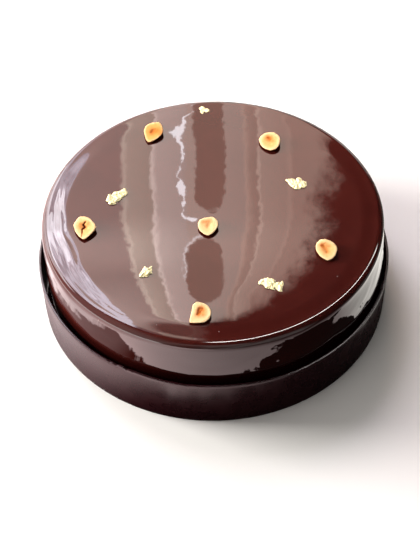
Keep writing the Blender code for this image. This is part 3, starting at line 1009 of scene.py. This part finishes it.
def make_nut(name, middle, tilt, reaches, toast, settings):
    """Half hazelnut: a round ball cut flat, its cut face inset ring by ring and hollowed."""
    reach, belly = NUT_BALL, NUT_HEIGHT - NUT_RIM_DROP
    centre = (middle[0] * MM, middle[1] * MM, CAKE_HEIGHT + belly)
    start_clean()
    bpy.ops.mesh.primitive_uv_sphere_add(segments=NUT_SEGMENTS, ring_count=NUT_BANDS, radius=reach,
                                         location=centre)
    nut = bpy.context.object
    nut.name = nut.data.name = name.replace("hazelnut", "nut")
    edit("FACE")
    bpy.ops.mesh.select_all(action="SELECT")
    bpy.ops.transform.resize(value=(1.0, 1.0, belly / NUT_FLAT / reach), center_override=centre)
    bpy.ops.mesh.bisect(plane_co=centre, plane_no=(0.0, 0.0, 1.0), clear_outer=True, use_fill=True)
    bpy.ops.mesh.select_all(action="SELECT")
    bpy.ops.mesh.bisect(plane_co=(centre[0], centre[1], CAKE_HEIGHT), plane_no=(0.0, 0.0, 1.0),
                        clear_inner=True, use_fill=True)
    bpy.ops.object.mode_set(mode="OBJECT")
    settle(nut)
    edit("FACE")
    face_level = CAKE_HEIGHT + belly - TINY
    choose(nut, "FACE", lambda face: face.normal.z > 0.9 and face.center.z > face_level)
    for width in NUT_INSETS:
        bpy.ops.mesh.inset(thickness=width * MM)
    bpy.ops.mesh.poke()
    bpy.ops.object.mode_set(mode="OBJECT")

    def shape(place):
        x, y, z = (place[0] - centre[0]) / reach, (place[1] - centre[1]) / reach, place[2] - CAKE_HEIGHT
        share, height = math.hypot(x, y), z
        x, y = spread_out(x, y, reaches)
        if place[2] > face_level and share < NUT_EDGE:
            crown = between(1.0 - share, 0.0, NUT_CROWN)
            hollow = settings.hollow * math.exp(-(share / NUT_HOLLOW_SPREAD) ** 2)
            height += NUT_RIM_DROP * crown - hollow
            height += NUT_GRAIN[0] * swell(x, y, 0.0, NUT_GRAIN[1], toast * 10 + 1) * crown
            height -= CRACK_DEPTH * min(marked(x / MM, y / MM, SCORCHED[name]), 1.0) ** 2
        height += max(height, 0.0) / belly * (tilt[0] * x + tilt[1] * y)
        return Vector((centre[0] + x, centre[1] + y, CAKE_HEIGHT + height))

    values = {kind: [0.0] * len(nut.data.vertices) for kind in ("toast", "roast", "scorch", "skin")}
    for vertex in nut.data.vertices:
        x, y = (vertex.co.x - centre[0]) / reach, (vertex.co.y - centre[1]) / reach
        share, on_top = math.hypot(x, y), vertex.co.z > face_level
        u, v = (value / MM for value in spread_out(x, y, reaches))
        at_rim, more, reached = NUT_TOAST
        values["toast"][vertex.index] = toast * (at_rim + more * between(1.0 - share, 0.0, reached))
        values["roast"][vertex.index] = marked(u, v, ROASTED[name]) if on_top else 0.0
        values["scorch"][vertex.index] = min(marked(u, v, SCORCHED[name]), 1.0) if on_top else 0.0
        values["skin"][vertex.index] = 0.0 if on_top and share < NUT_SKIN else 1.0
    sculpt(nut, shape)
    for kind, numbers in values.items():
        layer = nut.data.attributes.new(kind, "FLOAT", "POINT")
        layer.data.foreach_set("value", numbers)
    face_outwards(nut)
    bpy.ops.object.shade_smooth_by_angle(angle=SMOOTH_ANGLE)
    return nut


class ENTREMET_OT_hazelnuts(bpy.types.Operator):
    """Model the six halved hazelnuts, cut face up"""
    bl_idname = "entremet.hazelnuts"
    bl_label = "Halved hazelnuts"
    bl_options = {"REGISTER", "UNDO"}

    def execute(self, context):
        settings = context.scene.entremet_nuts
        material = nut_material(settings)
        for name, middle, tilt, reaches, toast in HAZELNUTS:
            nut = make_nut(name, middle, tilt, reaches, toast, settings)
            dress(nut, material, "hazelnut", name)
        return {"FINISHED"}


# ================================================================ stage
# Four numbers that stand together are a change of light: from this place to this, from this level to this.
# Two are its places alone.
CRISP, SOFT = (-0.001, 0.001), (-0.002, 0.002)      # over an edge
FLOOR_SIZE, FLOOR_LEVEL = 14.0, -0.0002
# painted light: the floor glows with its own colour, more the further it is from the cake
FLOOR_GLOW = (0.35, 2.2)        # between these distances the floor turns as pale as the backdrop
FLOOR_CLOUD, FLOOR_DARKER = 0.6, 0.985      # size of its faint clouds, and their share of its colour
FLOOR_FILL = (-0.30, 0.0, 0.6, 0.03)        # the light that dull things get from it, from left to right
SIDES_MEET = (-0.02, 0.02)      # here the light of the left changes to that of the right
FRONT_LEVEL, FRONT_FALL = 2.25, 0.13    # light of the floor in front, and how fast it falls to the right
LEFT_LEVEL, FRONT_MOST = 2.5, 4.5       # on the left, and at most in front
RIGHT_LEVEL, RIGHT_FAR_LEVEL = 1.7, 0.38    # of a strip along the square's right side, and past it
RIGHT_STRIP, STRIP_END = (0.1075, 0.150), (0.03, 0.06)      # from left to right, and its end at the back
BESIDE = (-0.110, -0.040)       # from front to back, the floor's light changes to that of the sides
SQUARE_HALF = 0.125             # half side of the dark square that only glossy surfaces mirror
SQUARE_CORNER = 0.012
SQUARE_MIDDLE = (-0.0015, -0.002)
SQUARE_TURN = 4.0               # degrees
SQUARE_TEAR_SIZE = 0.014
SQUARE_TEAR = (-0.02, 0.04, 0.014, 0.034)   # how uneven its edges are, from left to right
SQUARE_LOW = (-0.02, 0.06, 1.0, 0.02)       # seen from low down, nothing past it is bright on the right
# its edges as they look from high up: how far out they are, from where forward they slant, how much
HIGH_LEFT, HIGH_RIGHT = (0.1215, 0.040, 0.2), (RIGHT_STRIP[0], 0.030, 0.35)
HIGH_FRONT = (0.127, 0.2)       # the front edge slants all along
DARK_LEVEL = 0.02
# sheen along the square's left side, seen from low and from high, and how it grows away from the middle
LOW_SHEEN, HIGH_SHEEN = (-0.032, 0.008, DARK_LEVEL, 1.6), (-0.098, -0.074, 0.65, DARK_LEVEL)
SHEEN_RISE = (0.108, 0.132, 0.65, 1.7)
SHEEN_SIDE, SHEEN_SLANT = 0.121, 0.444
LOW_RAY = (0.041, 0.046)        # a ray that has come less far is from the collar

WINDOW_PLACE, WINDOW_SIZE, WINDOW_TINT = (-0.99, 0.97, 0.93), (1.05, 0.95), (0.97, 0.96, 1.0)
CURTAIN_FOLD, CURTAIN_DRAPE = 0.085, 0.35   # size of its folds, and how much they are drawn out in height
CURTAIN_LIGHT = (0.36, 0.60, 0.85, 1.05)    # from its folds' hollows to their ridges
WINDOW_BARS = ((0, 0.48, 0.05), (1, 0.32, 0.06), (1, 0.68, 0.045))     # across or up, middle, half width
WINDOW_BAR = (0.8, 1.2, 0.45, 1.0)      # over the edge of a bar, in half widths
RIM_STRIP_ENDS, RIM_STRIP_WIDTH = ((-0.15, 0.05, 1.33), (1.25, 0.75, 1.12)), 0.14
RIM_STRIP_TINT = (1.0, 0.97, 0.94)
# it is dimmer towards its right end, and fades out over its left end and its long edges
RIM_STRIP_DIM, RIM_STRIP_END, RIM_STRIP_EDGE = (0.1, 0.9, 1.0, 0.3), (0.0, 0.06), (0.0, 0.35)
# soft lights, by their setting: place, target, size and tint
SOFT_LIGHTS = {
    "side_light": ((-1.47, 0.31, 0.38), (0.0, 0.0, CAKE_HEIGHT), (0.7, 0.5), (1.0, 0.98, 0.95)),
    "overhead": ((0.0, -0.02, 1.35), (0.0, -0.02, 0.0), (1.2, 1.2), (1.0, 0.96, 0.92)),
}
FILL_COLOUR, SEEN_COLOUR = (1.0, 0.97, 0.94, 1.0), (1.0, 1.0, 0.99, 1.0)   # the room, lit and as seen
ROOM_FILL = (-0.65, -0.15, 0.9, 0.025)  # the room is lighter on the left
# by direction, the gloss sees clouds of soft light at the viewer's back, a bright wall below the window's
# sill, and a pale one low down at the back, which lights the far edge of the rim
BEHIND, BEHIND_CLOUD, BEHIND_LIGHT = (-0.70, -0.45), 0.45, (0.38, 0.62, 0.15, 0.9)
SILL, SILL_TOP = (-0.55, -0.45, 6.0, 0.0), (0.17, 0.19)
LOW_BACK, LOW_BACK_TOP = (0.80, 0.90, 0.0, 3.0), (0.26, 0.36)

WALL_DISTANCE = 1.4             # from the middle of the top
WALL_ELEVATION = 45.6           # degrees
WALL_LEFT, WALL_RIGHT = -0.75, 0.38
WALL_FRONT, WALL_BACK = 0.620, -0.62
RAMP_SCALE = 16.0               # a ramp holds colours from 0 to 1, so it is filled on this scale
# folds in the wall, left to right: where each starts, in metres, how bright its edge is, and how it is lit
WALL_FOLDS = (
    (-0.750, 1.0, (7.3, 6.9, 7.8)),
    (-0.335, 1.0, (3.8, 3.0, 2.75)),
    (-0.154, 1.5, (5.1, 4.3, 3.7)),
    (-0.102, 1.5, (6.2, 5.1, 4.7)),
    (-0.040, 1.0, (5.2, 4.1, 3.6)),
    (0.066, 1.3, (4.3, 3.1, 2.6)),
    (0.091, 1.4, (4.8, 3.6, 3.05)),
    (0.142, 1.35, (3.9, 2.8, 2.35)),
)
FOLD_SHADE = (-0.0010, 0.85)            # just before a fold: where, and the share of light that is left
FOLD_EDGE = (0.0005, 0.0028, 0.0065)    # its lit edge: where it is full from and to, and where it ends
# how fast the folds draw together towards the front, from left to right, and how far at most
FOLD_PULL, FOLD_NARROWEST = (-0.01, 0.01, -9.0, -22.0), 0.45
# unevenness, ragged and slow, and of the right edge: size and amount, then detail and roughness if not torn's
WALL_TEAR, WALL_DRIFT, EDGE_TEAR = (0.010, 0.022), (0.070, 0.016, 2.0, 0.5), (0.030, 0.10, 4.0, 0.65)
EDGE_FADE = (-0.032, 0.032, 1.0, 0.01)
# the wall is brighter towards the front, and most in a patch and a corner on the left: how they start and
# end towards the front, and how they change from left to right
FRONT_GAIN = (-0.10, 0.15, 1.0, 1.2)
PATCH_START, PATCH_END, PATCH_SIDES = (0.0, 0.06), (0.07, 0.125), (-0.16, -0.02, 0.5, 0.1)
CORNER_START, CORNER_SIDES = (0.09, 0.19), (-0.17, -0.05, 0.55, 0.0)
# how far overhead it reaches from left to right, and how it fades there
OVERHEAD_REACH, OVERHEAD_FADE = (-0.32, -0.14, 0.60, 0.27), (0.0, 0.14, 1.0, 0.15)
# on the left it is cloudy: size of the clouds, their light, and where they end
CLOUD_SIZE, CLOUD_LIGHT, CLOUD_END = 0.10, (0.38, 0.62, 0.55, 1.1), (-0.36, -0.32)
# right edge of the lit wall: distance to the front, distance to the right; millimetres
WALL_EDGE = ((-200, 230), (-133, 226), (-90, 222), (-50, 214), (-10, 192), (34, 200), (80, 180),
             (105, 158), (128, 140), (150, 112), (178, 78), (200, 20), (212, -40))
# upright bars: middle, where their straight part starts and ends, half width
BACK_BAR, FRONT_BAR = (0.0015, -0.4, -0.028, 0.027), (-0.012, 0.084, 0.132, 0.032)
BAR_TINT = (2.4, 1.65, 1.35)
# thin light line round the left of the front bar: from the bar outwards, left to right, towards the front
LINE_START, LINE_EDGE = (0.001, 0.0035), (0.0035, 0.007)
LINE_SIDES, LINE_END = (-0.022, -0.012, 0.5, 0.0), (0.105, 0.130)
STREAK_TINT = (13.6, 12.9, 13.4)
STREAK_TEAR, STREAK_EDGE, STREAK_END = (0.008, 0.007), (0.0, 0.002), (0.0185, 0.0195)
# ragged streak beside the bars: distance to the front, its left and its right edge; millimetres
STREAK = ((-200, -28, -26), (-192, -31, -27), (-172, -43, -37), (-155, -50, -42), (-145, -59, -43),
          (-139, -72, -45), (-134, -67, -49), (-126, -60, -47), (-119, -56, -44), (-101, -50, -44),
          (-85, -50, -46), (-80, -51, -51), (-75, -57, -53), (-59, -54, -50), (-48, -53, -44),
          (-44, -59, -37), (-38, -52, -42), (-26, -50, -44), (-15, -50, -42), (-8, -49, -46),
          (2, -52, -48), (9, -50, -42), (13, -47, -22), (17, -40, -22), (19, -30, -30))


def dark_square(place, low):
    """Mask that is 0 inside a square with round corners under the cake and 1 outside it."""
    x, y, _ = split(place)
    ragged = torn(place, SQUARE_TEAR_SIZE, ease(x, *SQUARE_TEAR))
    x, y = x + ragged, y + ragged
    turned = fed(node(place.tree, "ShaderNodeMapping", vector_type="TEXTURE"), Vector=joined(x, y),
                 Location=(*SQUARE_MIDDLE, 0.0), Rotation=(0.0, 0.0, math.radians(-SQUARE_TURN)))
    past = [largest(abs(along) - (SQUARE_HALF - SQUARE_CORNER), 0.0)
            for along in split(Value(turned.outputs["Vector"]))[:2]]
    outside = ease(distance(*past) - SQUARE_CORNER, *CRISP)
    # from high up it looks smaller in front, on the left and on the right
    front = -HIGH_FRONT[0] - y - x * HIGH_FRONT[1]
    left = largest(-HIGH_LEFT[1] - y, 0.0) * HIGH_LEFT[2] - x - HIGH_LEFT[0]
    right = largest(-HIGH_RIGHT[1] - y, 0.0) * -HIGH_RIGHT[2] + x - HIGH_RIGHT[0]
    outside = largest(outside, ease(front, *CRISP))
    seen_high = largest(outside, largest(ease(left, *SOFT), ease(right, *CRISP)))
    return mix(low, seen_high, outside * ease(x, *SQUARE_LOW))


def show_to_camera(path, seen, other, output):
    """Let the camera see one shader, and every other ray the other one."""
    tree = path["Is Camera Ray"].tree
    both = node(tree, "ShaderNodeMixShader")
    plug(path["Is Camera Ray"], both.inputs["Fac"])
    tree.links.new(other.outputs[0], both.inputs[1])
    tree.links.new(seen.outputs[0], both.inputs[2])
    tree.links.new(both.outputs[0], tree.nodes[output].inputs["Surface"])


def floor_material(settings):
    """Pale floor; the gloss and the fill light see it brighter at the left and dark under the cake."""
    material, shader, place = new_material("Pale floor")
    tree = material.node_tree
    tone, _ = cloudy(place, FLOOR_CLOUD, settings.floor_colour,
                     [c * FLOOR_DARKER for c in settings.floor_colour])
    plug(tone, shader["Base Color"])
    shader["Roughness"].default_value = 1.0
    shader["Specular IOR Level"].default_value = 0.0
    x, y, _ = split(place)
    length = node(tree, "ShaderNodeVectorMath", operation="LENGTH")
    plug(place, length.inputs[0])
    away = outputs(length)["Value"]
    # painted light: the floor glows further out, so that it looks as pale as the backdrop
    plug(tone, shader["Emission Color"])
    plug(ease(away, *FLOOR_GLOW), shader["Emission Strength"])
    path = outputs(node(tree, "ShaderNodeLightPath"))
    low = fade(path["Ray Length"], *LOW_RAY)
    on_right = ease(x, *SIDES_MEET)
    front = smallest(calc("POWER", math.e, x / -FRONT_FALL) * FRONT_LEVEL, FRONT_MOST)
    strip = ease(x - RIGHT_STRIP[1], *CRISP, RIGHT_LEVEL, RIGHT_FAR_LEVEL)
    side = mix(on_right, LEFT_LEVEL, mix(ease(y, *STRIP_END), strip, RIGHT_FAR_LEVEL))
    beside = ease(y, *BESIDE)
    # the square has a sheen along its left side, weaker close to the collar
    slant = -SHEEN_SIDE - x - y * SHEEN_SLANT
    sheen = mix(low, ease(x, *HIGH_SHEEN), ease(slant, *LOW_SHEEN) * ease(away, *SHEEN_RISE))
    outside = dark_square(place, low)
    mirrored = mix(outside, sheen, mix(beside, front, side))
    soft = ease(x, *FLOOR_FILL) * outside
    side_tint = blend_colours(on_right, settings.left_tint, settings.right_tint)
    glow = fed(node(tree, "ShaderNodeEmission"),
               Color=blend_colours(beside, settings.front_tint, side_tint),
               Strength=mix(path["Is Diffuse Ray"], mirrored, soft))
    show_to_camera(path, tree.nodes["Principled BSDF"], glow, "Material Output")
    material.cycles.emission_sampling = "NONE"
    return material


def add_area_light(name, place, target, size, radiance, tint=(1.0, 1.0, 1.0), diffuse=True, gloss=True):
    """Rectangular light that faces a target and looks as bright as the given radiance."""
    start_clean()
    bpy.ops.object.light_add(type="AREA", location=place)
    lamp = bpy.context.object
    lamp.name = lamp.data.name = name
    lamp.data.shape = "RECTANGLE"
    lamp.data.size, lamp.data.size_y = size
    lamp.data.energy = radiance * math.pi * size[0] * size[1]
    lamp.data.color = tint
    facing = Vector(place) - Vector(target)
    lamp.rotation_euler = facing.to_track_quat("Z", "Y").to_euler()
    lamp.visible_diffuse, lamp.visible_glossy = diffuse, gloss
    lamp.select_set(False)
    return lamp


def face_of(lamp):
    """Sockets of the lamp's glow, and the place on its face, from 0 to 1 across and up."""
    lamp.data.use_nodes = True
    tree = lamp.data.node_tree
    across, up, _ = split(outputs(node(tree, "ShaderNodeNewGeometry"))["Parametric"])
    return tree.nodes["Emission"].inputs, across, up


def light_window(settings):
    """Window at the back left behind a thin curtain, which only the gloss mirrors."""
    lamp = add_area_light("Window", WINDOW_PLACE, (0.0, 0.0, CAKE_HEIGHT), WINDOW_SIZE, settings.window,
                          WINDOW_TINT, diffuse=False)
    glow, *on_face = face_of(lamp)
    hung = joined(on_face[0] * WINDOW_SIZE[0], on_face[1] * (WINDOW_SIZE[1] * CURTAIN_DRAPE))
    level = ease(texture(hung, CURTAIN_FOLD, 3.0, 0.6), *CURTAIN_LIGHT)
    for way, middle, half in WINDOW_BARS:
        level *= ease(abs(on_face[way] - middle) / half, *WINDOW_BAR)
    plug(level, glow["Strength"])


def light_rim(settings):
    """Long strip from overhead to the back right, which only the rounded rim mirrors."""
    start, end = (Vector(place) for place in RIM_STRIP_ENDS)
    middle, run, top = (start + end) / 2, end - start, Vector((0.0, 0.0, CAKE_HEIGHT))
    lamp = add_area_light("Rim strip", middle, top, (run.length, RIM_STRIP_WIDTH), settings.rim_strip,
                          RIM_STRIP_TINT, diffuse=False)
    away = (middle - top).normalized()
    along = (run - away * run.dot(away)).normalized()
    lamp.rotation_euler = Matrix((along, away.cross(along), away)).transposed().to_euler()
    glow, across, up = face_of(lamp)
    level = ease(across, *RIM_STRIP_DIM) * ease(across, *RIM_STRIP_END)
    plug(level * ease(smallest(up, 1.0 - up), *RIM_STRIP_EDGE), glow["Strength"])


def light_wall(settings):
    """Softly lit wall with upright folds behind the cake, which the top mirrors."""
    rise = math.radians(WALL_ELEVATION)
    out, up = Vector((0.0, math.cos(rise), math.sin(rise))), Vector((0.0, -math.sin(rise), math.cos(rise)))
    middle = Vector(((WALL_LEFT + WALL_RIGHT) / 2, 0.0, 0.0)) + up * ((WALL_FRONT + WALL_BACK) / 2)
    place = Vector((0.0, 0.0, CAKE_HEIGHT)) + out * WALL_DISTANCE + middle
    width, depth = WALL_RIGHT - WALL_LEFT, WALL_FRONT - WALL_BACK
    lamp = add_area_light("Folded wall", place, place - out, (width, depth), settings.wall)
    lamp.rotation_euler = (rise - math.pi / 2, 0.0, 0.0)
    glow, across, down = face_of(lamp)
    side, front = across * width + WALL_LEFT, down * -depth + WALL_FRONT
    place = joined(side, front)
    side = torn(place, *WALL_TEAR) + (torn(place, *WALL_DRIFT) + side)
    ahead = largest(front, 0.0)
    draw = ahead * ahead * ease(side, *FOLD_PULL) + 1.0
    fan = side / largest(draw, FOLD_NARROWEST)
    colour = ramp((fan - WALL_LEFT) / width, fold_stops(width))
    back_gap, front_gap = (bar_gap(side, front, *bar) for bar in (BACK_BAR, FRONT_BAR))
    line = ease(front_gap, *LINE_START) * fade(front_gap, *LINE_EDGE)
    line *= ease(side, *LINE_SIDES) * fade(front, *LINE_END)
    for mask, tint in ((line, STREAK_TINT), (fade(smallest(back_gap, front_gap), *SOFT), BAR_TINT),
                       (ragged_streak(place, side, front), STREAK_TINT)):
        colour = blend_colours(mask, colour, scaled(tint))
    # it fades away to the right
    level = ease(torn(place, *EDGE_TEAR) + (side - along_table(front, WALL_EDGE)), *EDGE_FADE)
    patch = ease(front, *PATCH_START) * fade(front, *PATCH_END) * ease(side, *PATCH_SIDES)
    corner = ease(front, *CORNER_START) * ease(side, *CORNER_SIDES)
    level *= ease(front, *FRONT_GAIN) + patch + corner
    level *= ease(front - ease(side, *OVERHEAD_REACH), *OVERHEAD_FADE)
    cloud = ease(texture(place, CLOUD_SIZE, 3.0, 0.6), *CLOUD_LIGHT)
    level *= ease(side, *CLOUD_END, cloud, 1.0)
    plug(colour, glow["Color"])
    plug(level * RAMP_SCALE, glow["Strength"])


def scaled(tint):
    return [value / RAMP_SCALE for value in tint]


def ramp(share, stops):
    """Colour that runs through the stops, each a share and a colour."""
    made = fed(node(share.tree, "ShaderNodeValToRGB"), Fac=share)
    elements = made.color_ramp.elements
    while len(elements) < len(stops):
        elements.new(1.0)
    for element, (at, tint) in zip(elements, stops):
        element.position = at
        element.color = (*tint, 1.0)
    return Value(made.outputs["Color"])


def fold_stops(width):
    """Bands that darken up to the next fold, where a thin lit edge follows."""
    stops = [(0.0, scaled(WALL_FOLDS[0][2]))]
    for (_, _, before), (start, edge, tint) in zip(WALL_FOLDS, WALL_FOLDS[1:]):
        shade, lit = [c * FOLD_SHADE[1] for c in before], [c * edge for c in tint]
        for past, colour in zip((FOLD_SHADE[0], *FOLD_EDGE), (shade, lit, lit, tint)):
            stops.append(((start - WALL_LEFT) / width + past / width, scaled(colour)))
    return stops


def bar_gap(side, front, middle, start, end, half):
    """Distance outside an upright bar with round ends, less than 0 inside it."""
    return distance(front - smallest(largest(front, start), end), side - middle) - half


def along_table(front, rows):
    """Value in metres that follows a table of distances to the front and values, in millimetres."""
    first, last = rows[0][0], rows[-1][0]
    least = min(value for _, value in rows)
    span = max(value for _, value in rows) - least
    stops = [((at - first) / (last - first), [(value - least) / span] * 3) for at, value in rows]
    return ramp((front - first * MM) / ((last - first) * MM), stops) * (span * MM) + least * MM


def ragged_streak(place, side, front):
    """Mask of a narrow bright streak with torn edges beside the bars."""
    left, right = (along_table(front, [(row[0], row[column]) for row in STREAK]) for column in (1, 2))
    within = torn(place, *STREAK_TEAR) + smallest(side - left, right - side)
    return ease(within, *STREAK_EDGE) * fade(front, *STREAK_END)


def add_world():
    """Pale to the camera, dim in the gloss, and a soft fill for the rest."""
    world = bpy.data.worlds.new("Studio")
    bpy.context.scene.world = world
    world.use_nodes = True
    tree = world.node_tree
    soft = tree.nodes["Background"]
    soft.inputs["Color"].default_value = FILL_COLOUR
    facing = outputs(node(tree, "ShaderNodeTexCoord"))["Generated"]
    sideways, ahead, upright = split(facing)
    behind = fade(ahead, *BEHIND) * ease(texture(facing, BEHIND_CLOUD), *BEHIND_LIGHT)
    sill = ease(sideways, *SILL) * fade(upright, *SILL_TOP)
    back = ease(ahead, *LOW_BACK) * fade(upright, *LOW_BACK_TOP)
    path = outputs(node(tree, "ShaderNodeLightPath"))
    gloss = largest(largest(behind, sill), back) * path["Is Glossy Ray"]
    plug(largest(ease(sideways, *ROOM_FILL), gloss), soft.inputs["Strength"])
    seen = fed(node(tree, "ShaderNodeBackground"), Color=SEEN_COLOUR)
    show_to_camera(path, seen, soft, "World Output")


class ENTREMET_OT_stage(bpy.types.Operator):
    """Set up the floor, the lights and the camera"""
    bl_idname = "entremet.stage"
    bl_label = "Stage"
    bl_options = {"REGISTER", "UNDO"}

    def execute(self, context):
        settings = context.scene.entremet_stage
        start_clean()
        bpy.ops.mesh.primitive_grid_add(x_subdivisions=8, y_subdivisions=8, size=FLOOR_SIZE,
                                        location=(0.0, 0.0, FLOOR_LEVEL))
        floor = context.object
        floor.name = floor.data.name = "floor"
        settle(floor)
        floor.data.materials.append(floor_material(settings))

        light_window(settings)
        for name, (place, target, size, tint) in SOFT_LIGHTS.items():
            add_area_light(name.replace("_", " ").capitalize(), place, target, size,
                           getattr(settings, name), tint, gloss=False)
        light_rim(settings)
        light_wall(settings)
        add_world()

        start_clean()
        bpy.ops.object.camera_add(location=CAMERA_PLACE,
                                  rotation=[math.radians(turn) for turn in CAMERA_TURN])
        camera = context.object
        camera.name = "Camera"
        camera.data.lens, camera.data.sensor_width = CAMERA_LENS, CAMERA_SENSOR
        camera.data.clip_start, camera.data.clip_end = CAMERA_NEAR, CAMERA_FAR
        context.scene.camera = camera
        context.scene.view_settings.view_transform = "Standard"
        return {"FINISHED"}
# ================================================================ panel and registration
class ENTREMET_PT_panel(bpy.types.Panel):
    """Everything that makes the entremet, in the order in which it is made"""
    bl_idname = "ENTREMET_PT_panel"
    bl_label = "Chocolate entremet"
    bl_space_type = "VIEW_3D"
    bl_region_type = "UI"
    bl_category = "Entremet"

    def draw(self, context):
        for operator, (name, group) in zip(OPERATORS, SETTINGS):
            box = self.layout.box()
            box.operator(operator.bl_idname)
            for prop in group.__annotations__:
                box.prop(getattr(context.scene, name), prop)


OPERATORS = (ENTREMET_OT_glaze, ENTREMET_OT_gold_leaf, ENTREMET_OT_collar, ENTREMET_OT_hazelnuts,
             ENTREMET_OT_stage)
CLASSES = tuple(group for _, group in SETTINGS) + OPERATORS + (ENTREMET_PT_panel,)


def register():
    for cls in CLASSES:
        bpy.utils.register_class(cls)
    for name, group in SETTINGS:
        setattr(bpy.types.Scene, name, PointerProperty(type=group))


def unregister():
    for name, _ in SETTINGS:
        delattr(bpy.types.Scene, name)
    for cls in reversed(CLASSES):
        bpy.utils.unregister_class(cls)


def main():
    register()
    bpy.ops.entremet.glaze()
    bpy.ops.entremet.gold_leaf()
    bpy.ops.entremet.collar()
    bpy.ops.entremet.hazelnuts()
    bpy.ops.entremet.stage()


if __name__ == "__main__":
    main()
